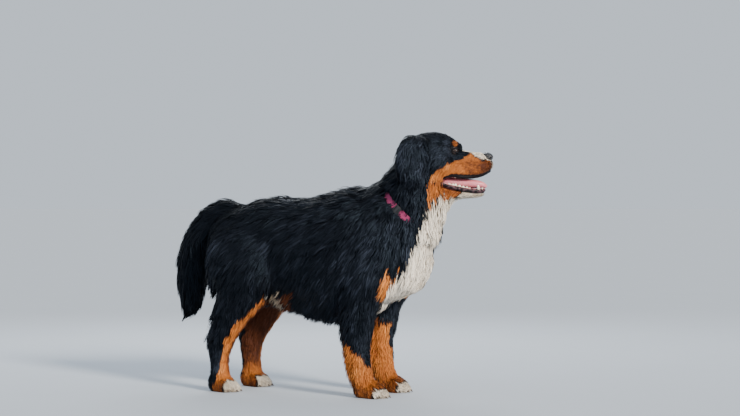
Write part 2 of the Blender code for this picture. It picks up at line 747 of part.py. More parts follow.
def inset(outline, by):
    """A convex outline, run anticlockwise, with every edge moved in."""
    made = []
    count = len(outline)
    for i in range(count):
        before, here, after = Vector(outline[i - 1]), Vector(outline[i]), Vector(outline[(i + 1) % count])
        first, second = (here - before).normalized(), (after - here).normalized()
        n1, n2 = Vector((-first.y, first.x)), Vector((-second.y, second.x))
        made.append(here + (n1 + n2) * (by / (1.0 + n1.dot(n2))))
    return made


def prism_shape(prism, by, place):
    """An outline in X and Z drawn out along Y, moved in by some distance on every side."""
    outline = inset(prism.outline, by)
    count = len(outline)
    points = [place @ Vector((p.x, y, p.y)) for y in (prism.low + by, prism.high - by) for p in outline]
    faces = [tuple(range(count)), tuple(range(2 * count - 1, count - 1, -1))]
    faces += [(i, count + i, count + (i + 1) % count, (i + 1) % count) for i in range(count)]
    return points, faces


def shell_cutter(name, prism, collection, place=Matrix.Identity(4)):
    """The thin wall round a prism, which parts what is inside it from what is outside."""
    outer = new_object(name, *prism_shape(prism, -CUT / 2, place), collection)
    inner = new_object(name + "_hollow", *prism_shape(prism, CUT / 2, place), collection)
    bm = bmesh.new()
    bm.from_mesh(outer.data)
    flipped = bmesh.new()
    flipped.from_mesh(inner.data)
    bmesh.ops.reverse_faces(flipped, faces=flipped.faces)
    flipped.to_mesh(inner.data)
    flipped.free()
    bm.from_mesh(inner.data)
    bm.to_mesh(outer.data)
    bm.free()
    bpy.data.objects.remove(inner)
    return outer


def neck_cuts(collection):
    """Two plates: under the collar, and behind the jaw and ears."""
    slope = math.degrees(COLLAR_SLOPE)
    box("cut_neck_base", Zone(COLLAR_CENTRE, (0.52, 0.50, CUT), (0, slope, 0)), collection=collection)
    turn = (0, NECK_CUT_SLOPE, NECK_CUT_TURN)
    box("cut_head", Zone(NECK_CUT_CENTRE, (0.36, 0.34, CUT), turn), collection=collection)


def leg_cuts(collection):
    """A thin wall round each leg from its elbow or hip down."""
    for s, side in ((-1, "right"), (1, "left")):
        fore = sorted((s * LEG_INNER_FORE, s * LEG_OUTER))
        hind = sorted((s * LEG_INNER_HIND, s * LEG_OUTER))
        shell_cutter("fore_cut_" + side, Prism(ELBOW_CUT, *fore), collection)
        shell_cutter("hind_cut_" + side, Prism(HIP_CUT, *hind), collection)


def ear_rings(s):
    """The ear flap, root first."""
    return [
        Ring(-0.104, s * 0.052, 0.030, 0.011, 0.022),
        Ring(-0.116, s * 0.070, 0.022, 0.010, 0.036),
        Ring(-0.130, s * 0.083, 0.000, 0.009, 0.045),
        Ring(-0.136, s * 0.089, -0.036, 0.008, 0.046),
        Ring(-0.132, s * 0.090, -0.072, 0.007, 0.038),
        Ring(-0.118, s * 0.087, -0.104, 0.006, 0.020),
    ]


def ear_loft(name, s, place, grow=0.0):
    across = place.to_3x3() @ Vector((1, 0, 0))
    return loft(name, ear_rings(s), place, sides=12, steps=2, across=across, grow=grow)


def make_ear(name, s, place):
    """An ear flap, cupped on its inner side, with wavy locks on its outer side."""
    ear = ear_loft(name, s, place)
    rng = random.Random(SEED + s)
    outward = place.to_3x3() @ Vector((0, s, 0))
    down = place.to_3x3() @ EAR_LIE

    def spacing(point, normal):
        near_root = (place.inverted() @ point).z > EAR_BARE
        return EAR_SPACING if normal.dot(outward) > 0.3 and not near_root else None

    roots = spread_roots(ear, spacing, rng, 900)
    rule = (down, EAR_LENGTH, EAR_LIFT)
    shapes = locks_on(ear, roots, lambda p: rule, rng, EAR_LOCK_WIDTH, EAR_LOCK_THICK)
    whole = eased(thinned(union(ear, shapes), EAR_SHARE))

    def cup(collection):
        ball("cup", (-0.132, s * 0.076, -0.040), (0.030, 0.010, 0.050), place, collection, segments=12)

    return largest(carved(whole, "cup", cup))


def tail_rule(point):
    """Hair on the tail runs down it and a little outward."""
    rows = [Vector((r.x, r.y, r.z)) for r in TAIL]
    nearest = min(range(1, len(rows)), key=lambda i: (point - (rows[i] + rows[i - 1]) / 2).length)
    along = (rows[nearest] - rows[nearest - 1]).normalized()
    away = (point - rows[nearest]).normalized()
    return (along + away * 0.15 + Vector((0, 0, -0.25))).normalized(), TAIL_LENGTH, TAIL_LIFT


def make_tail(name):
    """The tail with its plume of long locks."""
    tail = loft(name, TAIL, grow=TAIL_CORE, sides=12, steps=2)
    rng = random.Random(SEED)
    bare = lambda p: p.x > TAIL_ROOT + 0.015 or p.z < 0.31
    roots = spread_roots(tail, lambda p, n: None if bare(p) else TAIL_SPACING, rng, 3000)
    whole = union(tail, locks_on(tail, roots, tail_rule, rng, TAIL_LOCK_WIDTH, TAIL_LOCK_THICK))
    return largest(eased(thinned(whole, TAIL_SHARE)))


def hull_room(name, obj, wanted):
    """A convex body a little larger than the wanted part of an object, for the space that its locks need."""
    bm = bmesh.new()
    for vertex in obj.data.vertices:
        if wanted(vertex.co):
            bm.verts.new(vertex.co)
    bmesh.ops.convex_hull(bm, input=bm.verts)
    bmesh.ops.delete(bm, geom=[v for v in bm.verts if not v.link_faces], context="VERTS")
    bmesh.ops.recalc_face_normals(bm, faces=bm.faces)
    bm.normal_update()
    for vertex in bm.verts:
        vertex.co += vertex.normal * HULL_ROOM
    mesh = bpy.data.meshes.new(name)
    bm.to_mesh(mesh)
    bm.free()
    room = bpy.data.objects.new(name, mesh)
    bpy.context.scene.collection.objects.link(room)
    return room


def collar_arc(start, end, steps, low, high, half):
    """A stretch of band round the neck between two angles, from one height over the coat to another."""
    turn = Matrix.Translation(COLLAR_CENTRE) @ Matrix.Rotation(COLLAR_SLOPE, 4, "Y")
    closed = abs(end - start) >= 360
    count = steps if closed else steps + 1
    points, faces = [], []
    for k in range(count):
        a = math.radians(start + (end - start) * k / steps)
        centre = Vector((math.cos(a) * COLLAR_LONG, math.sin(a) * COLLAR_WIDE, 0))
        outward = Vector((math.cos(a) / COLLAR_LONG, math.sin(a) / COLLAR_WIDE, 0)).normalized()
        for z, r in ((-half, low), (half, low), (half, high), (-half, high)):
            points.append(turn @ (centre + outward * r + Vector((0, 0, z))))
    for k in range(steps):
        n = (k + 1) % count
        for c in range(4):
            d = (c + 1) % 4
            faces.append((k * 4 + c, k * 4 + d, n * 4 + d, n * 4 + c))
    if not closed:
        faces += [(3, 2, 1, 0), tuple(steps * 4 + c for c in range(4))]
    return points, faces


def make_strap(name, grow=0.0):
    """The webbing of the collar, an oval band round the base of the neck."""
    return new_object(name, *collar_arc(0, 360, 32, -grow, STRAP_THICKNESS + grow, STRAP_WIDTH / 2 + grow))


def make_buckle(name, grow=0.0):
    """The side-release buckle, on the strap at the right of the neck."""
    low, high = STRAP_THICKNESS + GAP - grow, STRAP_THICKNESS + BUCKLE_THICKNESS + grow
    wider = math.degrees(grow / COLLAR_WIDE)
    start, end = BUCKLE_ARC[0] - wider, BUCKLE_ARC[1] + wider
    return new_object(name, *collar_arc(start, end, 5, low, high, STRAP_WIDTH / 2 + 0.002 + grow))


def make_nose(name, place, grow=0.0):
    """The leather of the nose with its two nostrils."""
    nose = ball(name, (0.108, 0, -0.019), (0.018 + grow, 0.021 + grow, 0.0165 + grow), place, segments=14)
    if grow:
        return nose
    gathered = bpy.data.collections.new("nostrils")
    bpy.context.scene.collection.children.link(gathered)
    for s in (-1, 1):
        opening, slit = (0.124, s * 0.0095, -0.019), (0.119, s * 0.0165, -0.021)
        ball(f"nostril_{s}", opening, (0.0055, 0.0042, 0.0048), place, gathered, segments=8)
        ball(f"slit_{s}", slit, (0.0055, 0.0040, 0.0020), place, gathered, segments=8)
    return largest(boolean(nose, gathered, "DIFFERENCE"))


def tongue_rings():
    """The tongue lies in the lower jaw, arched over the teeth, and reaches just past them."""
    return [
        Ring(-0.055, 0, -0.104, 0.008, 0.018),
        Ring(-0.020, 0, -0.107, 0.011, 0.023),
        Ring(0.020, 0, -0.108, 0.014, 0.025),
        Ring(0.055, 0, -0.1095, 0.0140, 0.025),
        Ring(0.085, 0, -0.1115, 0.0110, 0.021),
        Ring(0.101, 0, -0.1180, 0.0055, 0.013),
    ]


def tooth_shapes(place):
    """Lower canines, cheek teeth and incisors: small cones sunk in the gums."""
    made = []

    def tooth(u, v, w, tall, round_, lean=0.0):
        points = []
        for k in range(6):
            a = math.pi * k / 3
            points.append(place @ Vector((u + round_ * 1.3 * math.cos(a), v + round_ * math.sin(a), w)))
        points.append(place @ Vector((u + lean, v, w + tall)))
        faces = [(k, (k + 1) % 6, 6) for k in range(6)] + [tuple(range(6))]
        made.append((points, faces))

    for s in (-1, 1):
        tooth(0.078, s * 0.0195, -0.128, 0.026, 0.0042, 0.004)
        for i, u in enumerate((0.056, 0.040, 0.022, 0.002, -0.018)):
            tooth(u, s * (0.0285 + 0.0016 * i), -0.126 + 0.0022 * i, 0.013 + 0.001 * i, 0.0046 + 0.0004 * i)
        for i in range(3):
            tooth(0.094 - 0.0015 * i, s * (0.0028 + 0.0052 * i), -0.129, 0.010, 0.0022)
    return made


def lid_shapes(place, s):
    """Upper and lower eyelids: thick rims bent over the eyeball."""
    made = []
    out = Vector((EYE_LOOKS.x, s * EYE_LOOKS.y, 0.0)).normalized()
    side = Vector((0, 0, 1)).cross(out).normalized()
    centre = Vector((EYE_AT.x, s * EYE_AT.y, EYE_AT.z))
    for upper in (1, -1):
        rings = []
        for k in range(7):
            a = math.radians(-78 + 26 * k)
            bow = math.cos(a) * (0.46 if upper > 0 else -0.50)
            way = (out * math.sqrt(max(0.05, 1 - bow * bow)) * math.cos(a * 0.92) + side * math.sin(a * 0.92)
                   + Vector((0, 0, bow))).normalized()
            at = centre + way * (EYE_RADIUS + 0.0006)
            thick = 0.0022 + 0.0012 * math.cos(a)
            rings.append(Ring(at.x, at.y, at.z, thick, thick))
        points, faces = loft_shape(rings, sides=6, steps=1, across=Vector((0, 0, 1)))
        made.append(([place @ p for p in points], faces))
    return made


def claw_shapes():
    """Four short claws on every paw, curved down to the floor."""
    made = []
    for (x, y), _ in PAWS.values():
        for share in TOES:
            turn, reach = toe_place(x, y, share)
            side = share * TOE_SPREAD * 1.04
            rings = [
                Ring(reach + 0.010, side, 0.015, 0.0042, 0.0034),
                Ring(reach + 0.017, side, 0.013, 0.0034, 0.0028),
                Ring(reach + 0.022, side, 0.008, 0.0014, 0.0014),
            ]
            points, faces = loft_shape(rings, sides=6, steps=1)
            made.append(([turn @ p for p in points], faces))
    return made


def torso_roots(body, coat, rng):
    """Where locks grow on the body: wherever the coat is long, off the collar's band and off the face."""
    turn = (Matrix.Translation(COLLAR_CENTRE) @ Matrix.Rotation(COLLAR_SLOPE, 4, "Y")).inverted()

    def spacing(point, normal):
        _, length, _ = coat_at(point, coat)
        if length < LONG_COAT or point.z > COAT_TOP:
            return None
        local = turn @ point
        if -0.004 < local.z < 0.075 and abs(local.y) > 0.055:
            return None
        return LOCK_SPACING if length > 0.06 else LOCK_SPACING * 0.85

    return spread_roots(body, spacing, rng)


def rooms(parts, place, collection):
    """The spaces that the parts built on their own need in the body: each a little larger than its part."""
    made = []
    to_head = place.inverted()
    for s, side in ((-1, "right"), (1, "left")):
        made.append(ear_loft("room_ear_" + side, s, place, GAP))
        below_root = lambda p: (to_head @ p).z < EAR_ROOT
        made.append(hull_room("room_flap_" + side, parts["ear_" + side], below_root))
        at = (EYE_AT.x, s * EYE_AT.y, EYE_AT.z)
        made.append(ball("room_eye_" + side, at, [EYE_RADIUS + GAP] * 3, place, segments=16))
    made.append(loft("room_tail", TAIL, grow=TAIL_CORE + GAP, sides=12, steps=2))
    made.append(hull_room("room_tail_root", parts["tail"], lambda p: p.x > TAIL_ROOT))
    for low, high in TAIL_SLABS:
        in_slab = lambda p: low < p.z < high and p.x < TAIL_ROOT + TAIL_OVERLAP
        made.append(hull_room("room_plume", parts["tail"], in_slab))
    made.append(make_strap("room_strap", GAP))
    made.append(make_buckle("room_buckle", GAP))
    made.append(make_nose("room_nose", place, GAP))
    made.append(loft("room_tongue", tongue_rings(), place, sides=12, steps=1, grow=GAP))
    for obj in made:
        for owner in list(obj.users_collection):
            owner.objects.unlink(obj)
        collection.objects.link(obj)


def carved(obj, name, fill):
    """The object with the shapes that fill puts in a collection taken out of it."""
    gathered = bpy.data.collections.new(name)
    bpy.context.scene.collection.children.link(gathered)
    fill(gathered)
    return boolean(obj, gathered, "DIFFERENCE")


def split(obj, names, fill):
    """Cuts an object and keeps the largest piece nearest the anchor of each name."""
    carved(obj, "cuts", fill)
    kept = {}
    for volume, centre, faces in loose_parts(obj):
        name = min(names, key=lambda n: (Vector(ANCHORS[n]) - centre).length)
        if name not in kept:
            kept[name] = part_of(obj, name, faces)
    bpy.data.objects.remove(obj)
    return kept


def settle(nodes):
    """Stands the paws on z = 0 with the middle of the whole over the origin, under one empty."""
    corners = np.array([v.co for obj in nodes.values() for v in obj.data.vertices])
    low, high = corners.min(axis=0), corners.max(axis=0)
    shift = Vector((-(low[0] + high[0]) / 2, -(low[1] + high[1]) / 2, -FLAT_LEVEL))
    home = bpy.data.collections.new(OBJECT_NAME)
    bpy.context.scene.collection.children.link(home)
    frame = bpy.data.objects.new(OBJECT_NAME, None)
    home.objects.link(frame)
    for name, obj in nodes.items():
        points = np.array([v.co for v in obj.data.vertices])
        middle = Vector((points.min(axis=0) + points.max(axis=0)) / 2)
        obj.data.transform(Matrix.Translation(-middle))
        obj.location = middle + shift
        obj.parent = frame
        obj.name = name
        obj.data.name = name
        for owner in list(obj.users_collection):
            owner.objects.unlink(obj)
        home.objects.link(obj)
        colour, roughness = LOOKS.get(name.rsplit("_", 1)[0], LOOKS.get(name, LOOKS["coat"]))
        obj.data.materials.clear()
        obj.data.materials.append(material(name, colour, roughness))
        obj.data.shade_smooth() if name.startswith(ROUND) else obj.data.shade_flat()


def sockets(place, collection):
    """The opening between the lids of each eye."""
    for s in (-1, 1):
        out = Vector((EYE_LOOKS.x, s * EYE_LOOKS.y, 0.0))
        at = Vector((EYE_AT.x, s * EYE_AT.y, EYE_AT.z)) + out * 0.013
        turn = Matrix.Translation(at) @ Matrix.Rotation(math.atan2(out.y, out.x), 4, "Z")
        ball(f"socket_{s}", (0, 0, 0), (0.010, 0.0125, 0.0078), place @ turn, collection, segments=12)


def mesh_shape(obj):
    """An object's mesh as points and faces."""
    return [v.co.copy() for v in obj.data.vertices], [tuple(p.vertices) for p in obj.data.polygons]


def own_parts(place):
    """The nodes that are built on their own and set into spaces in the body."""
    made = {}
    for s, side in ((-1, "right"), (1, "left")):
        made["ear_" + side] = make_ear("ear_" + side, s, place)
        at = (EYE_AT.x, s * EYE_AT.y, EYE_AT.z)
        made["eye_" + side] = ball("eye_" + side, at, [EYE_RADIUS] * 3, place, segments=16)
    made["tail"] = make_tail("tail")
    made["collar_strap"] = make_strap("collar_strap")
    made["collar_buckle"] = make_buckle("collar_buckle")
    made["nose"] = make_nose("nose", place)
    made["tongue"] = loft("tongue", tongue_rings(), place, sides=12, steps=1)
    return made


def make_dog():
    """Builds the dog: the fused whole with its coat, the cuts, and the parts set into it."""
    place = head_place()
    own = own_parts(place)
    rng = random.Random(SEED)
    coat = mirrored_coat()
    body = fused("body", body_flesh(), TRUNK_VOXEL, 8, TRUNK_SHARE)
    head = fused("head", head_flesh(place), HEAD_VOXEL, 9, HEAD_SHARE)
    carved(head, "sockets", lambda collection: sockets(place, collection))
    roots = torso_roots(body, coat, rng)
    shapes = locks_on(body, roots, lambda p: coat_at(p, coat), rng, LOCK_WIDTH, LOCK_THICK)
    shapes += tooth_shapes(place) + claw_shapes() + lid_shapes(place, -1) + lid_shapes(place, 1)
    shapes.append(mesh_shape(head))
    bpy.data.objects.remove(head)
    whole = union(body, shapes)
    eased(thinned(whole, WHOLE_SHARE))

    def spaces(collection):
        rooms(own, place, collection)
        under = Zone((0, 0, FLAT_LEVEL - 0.05), (1.4, 0.8, 0.1), (0, 0, 0))
        box("floor", under, collection=collection)

    carved(whole, "spaces", spaces)
    nodes = split(whole, ("torso", "neck", "head"), neck_cuts)
    legs = [f"{end}leg_{side}" for end in ("fore", "hind") for side in ("right", "left")]
    nodes.update(split(nodes.pop("torso"), ["torso"] + legs, leg_cuts))
    for leg in legs:
        paw = leg.replace("leg", "paw")
        (x, y), heel = PAWS[paw]
        plate = Zone((x - heel, y, PASTERN), (0.30, 0.20, CUT), (0, 0, 0))
        cut = lambda collection: box("plate", plate, collection=collection)
        nodes.update(split(nodes.pop(leg), (leg, paw), cut))
    jaw = Prism(JAW_CUT, -JAW_HALF, JAW_HALF)
    wall = lambda collection: shell_cutter("jaw", jaw, collection, place)
    nodes.update(split(nodes.pop("head"), ("head", "lower_jaw"), wall))
    nodes.update(own)
    settle(nodes)
    return nodes


clear_scene()
make_dog()
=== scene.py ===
"""The looks of a standing bernese mountain dog: one skin, a long coat of tufts, open mouth, eyes and collar.

Everything is modelled in the frame of the named sizes below, with the dog facing +X, its left side at +Y
and its paws near z = 0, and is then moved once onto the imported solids. Metres throughout.
"""

import math
from collections import namedtuple

import bmesh
import bpy
import numpy as np
from mathutils import Matrix, Vector
from mathutils.bvhtree import BVHTree
from mathutils.kdtree import KDTree


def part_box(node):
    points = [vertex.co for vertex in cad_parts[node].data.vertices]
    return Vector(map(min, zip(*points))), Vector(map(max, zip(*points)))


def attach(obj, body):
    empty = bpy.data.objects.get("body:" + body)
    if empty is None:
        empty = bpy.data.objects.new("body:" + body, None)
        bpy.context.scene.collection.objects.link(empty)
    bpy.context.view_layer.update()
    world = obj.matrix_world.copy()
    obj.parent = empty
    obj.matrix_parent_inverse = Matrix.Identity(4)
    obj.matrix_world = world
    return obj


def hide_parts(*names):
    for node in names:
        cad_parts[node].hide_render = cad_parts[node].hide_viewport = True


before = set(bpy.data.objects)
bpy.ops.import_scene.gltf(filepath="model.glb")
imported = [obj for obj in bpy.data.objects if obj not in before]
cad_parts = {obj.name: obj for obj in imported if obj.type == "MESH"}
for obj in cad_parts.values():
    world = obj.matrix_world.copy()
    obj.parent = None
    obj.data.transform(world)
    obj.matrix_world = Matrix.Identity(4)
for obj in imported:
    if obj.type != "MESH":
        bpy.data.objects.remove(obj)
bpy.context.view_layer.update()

SEED = 11

# The head turns left of the body line and tips its nose down a little
HEAD_AT = Vector((0.463, 0.043, 0.812))
HEAD_YAW = math.radians(18.0)
HEAD_PITCH = math.radians(0.4)
HEAD = (
    Matrix.Translation(HEAD_AT)
    @ Matrix.Rotation(HEAD_YAW, 4, "Z")
    @ Matrix.Rotation(HEAD_PITCH, 4, "Y")
)
EYE_RADIUS = 0.0125
EYE_AT = Vector((-0.001, 0.0355, -0.001))
EYE_LOOKS = Vector((0.62, 0.78, 0.0))

# The collar is an oval band that slopes down to the throat
COLLAR_CENTRE = Vector((0.325, 0.004, 0.610))
COLLAR_SLOPE = math.radians(44.0)
COLLAR = Matrix.Translation(COLLAR_CENTRE) @ Matrix.Rotation(COLLAR_SLOPE, 4, "Y")
COLLAR_LONG = 0.117
COLLAR_WIDE = 0.104
STRAP_WIDTH = 0.024
STRAP_THICKNESS = 0.0035
BUCKLE_THICKNESS = 0.007
BUCKLE_ARC = (-101.5, -89.5)
STRAP_SHOWS = (-0.84, 0.42)

# Paws: middle and heel set-back of each, and the four toes side by side
HIND_STEP = 0.023
PAWS = {
    "forepaw_right": ((0.226, -0.100), 0.026),
    "forepaw_left": ((0.226, 0.100), 0.026),
    "hindpaw_right": ((-0.308, -0.099), 0.020),
    "hindpaw_left": ((-0.308 + HIND_STEP, 0.099), 0.020),
}
TOES = (-1.5, -0.5, 0.5, 1.5)
TOE_SPREAD = 0.0185
TOE_FAN = 9.0
FLAT_LEVEL = 0.009
NOSE_AT = (0.1070, 0.0, -0.0205)
NOSE_SIZE = (0.0190, 0.0205, 0.0140)

# Fineness of the skin on the body and on the head
BODY_VOXEL = 0.0056
HEAD_VOXEL = 0.0028

Ring = namedtuple("Ring", "x y z deep wide")
Guide = namedtuple("Guide", "start end reach lie length lift freedom wave")

# Rings of the trunk from rump to breast: centre, half depth and half width of the flesh
TRUNK = [
    Ring(-0.350, 0, 0.566, 0.040, 0.044),
    Ring(-0.315, 0, 0.540, 0.085, 0.090),
    Ring(-0.255, 0, 0.508, 0.128, 0.116),
    Ring(-0.180, 0, 0.494, 0.145, 0.122),
    Ring(-0.090, 0, 0.488, 0.148, 0.118),
    Ring(0.000, 0, 0.476, 0.163, 0.130),
    Ring(0.085, 0, 0.468, 0.180, 0.140),
    Ring(0.160, 0, 0.474, 0.186, 0.140),
    Ring(0.235, 0, 0.480, 0.166, 0.130),
    Ring(0.290, 0, 0.464, 0.140, 0.112),
    Ring(0.335, 0, 0.450, 0.098, 0.084),
    Ring(0.358, 0, 0.450, 0.056, 0.052),
]

# Rings of the neck from the shoulders up to the skull
NECK = [
    Ring(0.190, 0.000, 0.535, 0.124, 0.112),
    Ring(0.256, 0.000, 0.574, 0.118, 0.102),
    Ring(0.312, 0.004, 0.630, 0.104, 0.090),
    Ring(0.345, 0.010, 0.695, 0.088, 0.080),
    Ring(0.362, 0.016, 0.752, 0.074, 0.070),
    Ring(0.372, 0.020, 0.800, 0.056, 0.058),
]

# Rings of a right foreleg from shoulder to pastern, and of a right hind leg from hip to pastern
FORELEG = [
    Ring(0.250, -0.088, 0.470, 0.066, 0.042),
    Ring(0.222, -0.102, 0.400, 0.066, 0.046),
    Ring(0.192, -0.108, 0.330, 0.052, 0.042),
    Ring(0.184, -0.106, 0.250, 0.040, 0.035),
    Ring(0.180, -0.102, 0.180, 0.033, 0.030),
    Ring(0.184, -0.100, 0.132, 0.032, 0.031),
    Ring(0.192, -0.099, 0.085, 0.028, 0.029),
    Ring(0.205, -0.099, 0.045, 0.026, 0.030),
]
HINDLEG = [
    Ring(-0.245, -0.078, 0.520, 0.098, 0.048),
    Ring(-0.238, -0.100, 0.440, 0.104, 0.052),
    Ring(-0.225, -0.108, 0.370, 0.076, 0.048),
    Ring(-0.262, -0.106, 0.285, 0.050, 0.038),
    Ring(-0.304, -0.102, 0.205, 0.034, 0.028),
    Ring(-0.322, -0.099, 0.160, 0.031, 0.025),
    Ring(-0.322, -0.098, 0.100, 0.024, 0.024),
    Ring(-0.318, -0.098, 0.050, 0.026, 0.028),
]

# A breast of muscle joins the neck to the trunk
BREAST = ((0.302, 0.0, 0.525), (0.090, 0.094, 0.120))

# The tail hangs from the croup in one soft bend
TAIL = [
    Ring(-0.300, 0.000, 0.590, 0.036, 0.036),
    Ring(-0.350, 0.000, 0.600, 0.034, 0.034),
    Ring(-0.402, 0.000, 0.572, 0.034, 0.032),
    Ring(-0.445, 0.000, 0.512, 0.037, 0.032),
    Ring(-0.468, 0.000, 0.437, 0.038, 0.031),
    Ring(-0.476, 0.000, 0.362, 0.032, 0.026),
    Ring(-0.480, 0.000, 0.306, 0.018, 0.016),
]

# The line of the lips in the head's own frame, from the corner of the mouth forward, right side
UPPER_LIP = [
    (-0.046, -0.043, -0.104),
    (-0.034, -0.044, -0.090),
    (-0.010, -0.042, -0.084),
    (0.022, -0.040, -0.0880),
    (0.058, -0.034, -0.0880),
    (0.088, -0.024, -0.0815),
    (0.109, -0.012, -0.0710),
    (0.115, 0.000, -0.0670),
]
LOWER_LIP = [
    (-0.046, -0.043, -0.104),
    (-0.036, -0.043, -0.112),
    (-0.008, -0.039, -0.1205),
    (0.030, -0.034, -0.128),
    (0.066, -0.026, -0.132),
    (0.090, -0.014, -0.1305),
    (0.098, 0.000, -0.129),
]

# The coat of the right side: along each line the hair has this lie, length and lift off the skin.
# Freedom is how far its ends leave the skin and hang, and wave is how far they swing from side to side
COAT = [
    Guide((-0.30, -0.03, 0.63), (0.05, -0.04, 0.65), 0.09, (-1.0, -0.25, -0.15), 0.075, 0.026, 0.1, 0.003),
    Guide((0.10, -0.03, 0.66), (0.17, -0.03, 0.67), 0.07, (-1.0, -0.25, 0.05), 0.080, 0.044, 0.3, 0.005),
    Guide((-0.24, -0.13, 0.54), (0.12, -0.15, 0.56), 0.09, (-0.80, -0.05, -0.62), 0.085, 0.026, 0.1, 0.003),
    Guide((-0.10, -0.13, 0.42), (0.10, -0.14, 0.42), 0.09, (-0.62, 0.00, -0.80), 0.090, 0.026, 0.1, 0.003),
    Guide((-0.11, -0.06, 0.36), (0.12, -0.06, 0.30), 0.08, (-0.60, 0.10, -0.80), 0.080, 0.044, 0.9, 0.003),
    Guide((0.16, -0.14, 0.58), (0.20, -0.14, 0.45), 0.09, (-0.50, -0.02, -0.86), 0.080, 0.026, 0.1, 0.003),
    Guide((0.30, -0.08, 0.58), (0.32, -0.06, 0.44), 0.08, (-0.20, -0.02, -0.98), 0.085, 0.028, 0.1, 0.004),
    Guide((0.33, -0.02, 0.42), (0.27, -0.02, 0.35), 0.07, (-0.60, 0.00, -0.80), 0.060, 0.020, 0.1, 0.003),
    Guide((0.39, -0.03, 0.53), (0.36, -0.03, 0.44), 0.06, (-0.25, 0.00, -0.97), 0.055, 0.012, 0.0, 0.003),
    Guide((0.26, -0.06, 0.72), (0.23, -0.08, 0.64), 0.07, (-0.75, -0.10, -0.66), 0.080, 0.024, 0.1, 0.006),
    Guide((0.36, -0.08, 0.72), (0.33, -0.10, 0.62), 0.08, (-0.30, -0.05, -0.95), 0.085, 0.034, 0.2, 0.007),
    Guide((0.43, -0.03, 0.66), (0.41, -0.03, 0.58), 0.07, (-0.05, -0.02, -1.00), 0.075, 0.042, 0.3, 0.005),
    Guide((-0.28, -0.14, 0.47), (-0.24, -0.15, 0.38), 0.08, (-0.55, -0.05, -0.83), 0.080, 0.026, 0.2, 0.003),
    Guide((-0.35, -0.10, 0.50), (-0.35, -0.11, 0.30), 0.07, (-0.55, 0.05, -0.83), 0.085, 0.034, 0.8, 0.003),
    Guide((-0.33, -0.11, 0.27), (-0.36, -0.10, 0.20), 0.05, (-0.40, 0.00, -0.90), 0.055, 0.024, 0.6, 0.002),
    Guide((-0.18, -0.13, 0.36), (-0.26, -0.12, 0.24), 0.06, (-0.35, 0.00, -0.93), 0.042, 0.014, 0.1, 0.001),
    Guide((-0.33, -0.10, 0.16), (-0.33, -0.10, 0.06), 0.05, (-0.20, 0.00, -1.00), 0.028, 0.010, 0.1, 0.0),
    Guide((0.13, -0.12, 0.34), (0.12, -0.11, 0.22), 0.05, (-0.45, 0.00, -0.90), 0.065, 0.030, 0.9, 0.002),
    Guide((0.14, -0.11, 0.20), (0.15, -0.10, 0.11), 0.04, (-0.40, 0.00, -0.90), 0.045, 0.022, 0.8, 0.001),
    Guide((0.22, -0.11, 0.36), (0.21, -0.10, 0.24), 0.05, (-0.05, 0.00, -1.00), 0.040, 0.014, 0.0, 0.001),
    Guide((0.21, -0.10, 0.20), (0.22, -0.10, 0.06), 0.05, (0.00, 0.00, -1.00), 0.026, 0.010, 0.0, 0.0),
    Guide((0.22, -0.10, 0.04), (0.28, -0.10, 0.02), 0.04, (0.80, 0.00, -0.60), 0.011, 0.005, 0.0, 0.0),
    Guide((-0.31, -0.10, 0.04), (-0.25, -0.10, 0.02), 0.04, (0.80, 0.00, -0.60), 0.011, 0.005, 0.0, 0.0),
    Guide((-0.35, -0.02, 0.62), (-0.44, -0.02, 0.54), 0.05, (-0.75, 0.00, -0.65), 0.090, 0.026, 0.2, 0.003),
    Guide((-0.48, -0.02, 0.50), (-0.51, -0.02, 0.34), 0.05, (-0.20, 0.00, -1.00), 0.105, 0.028, 0.5, 0.003),
    Guide((-0.43, -0.02, 0.50), (-0.45, -0.02, 0.34), 0.04, (0.10, 0.00, -1.00), 0.100, 0.026, 0.5, 0.003),
]

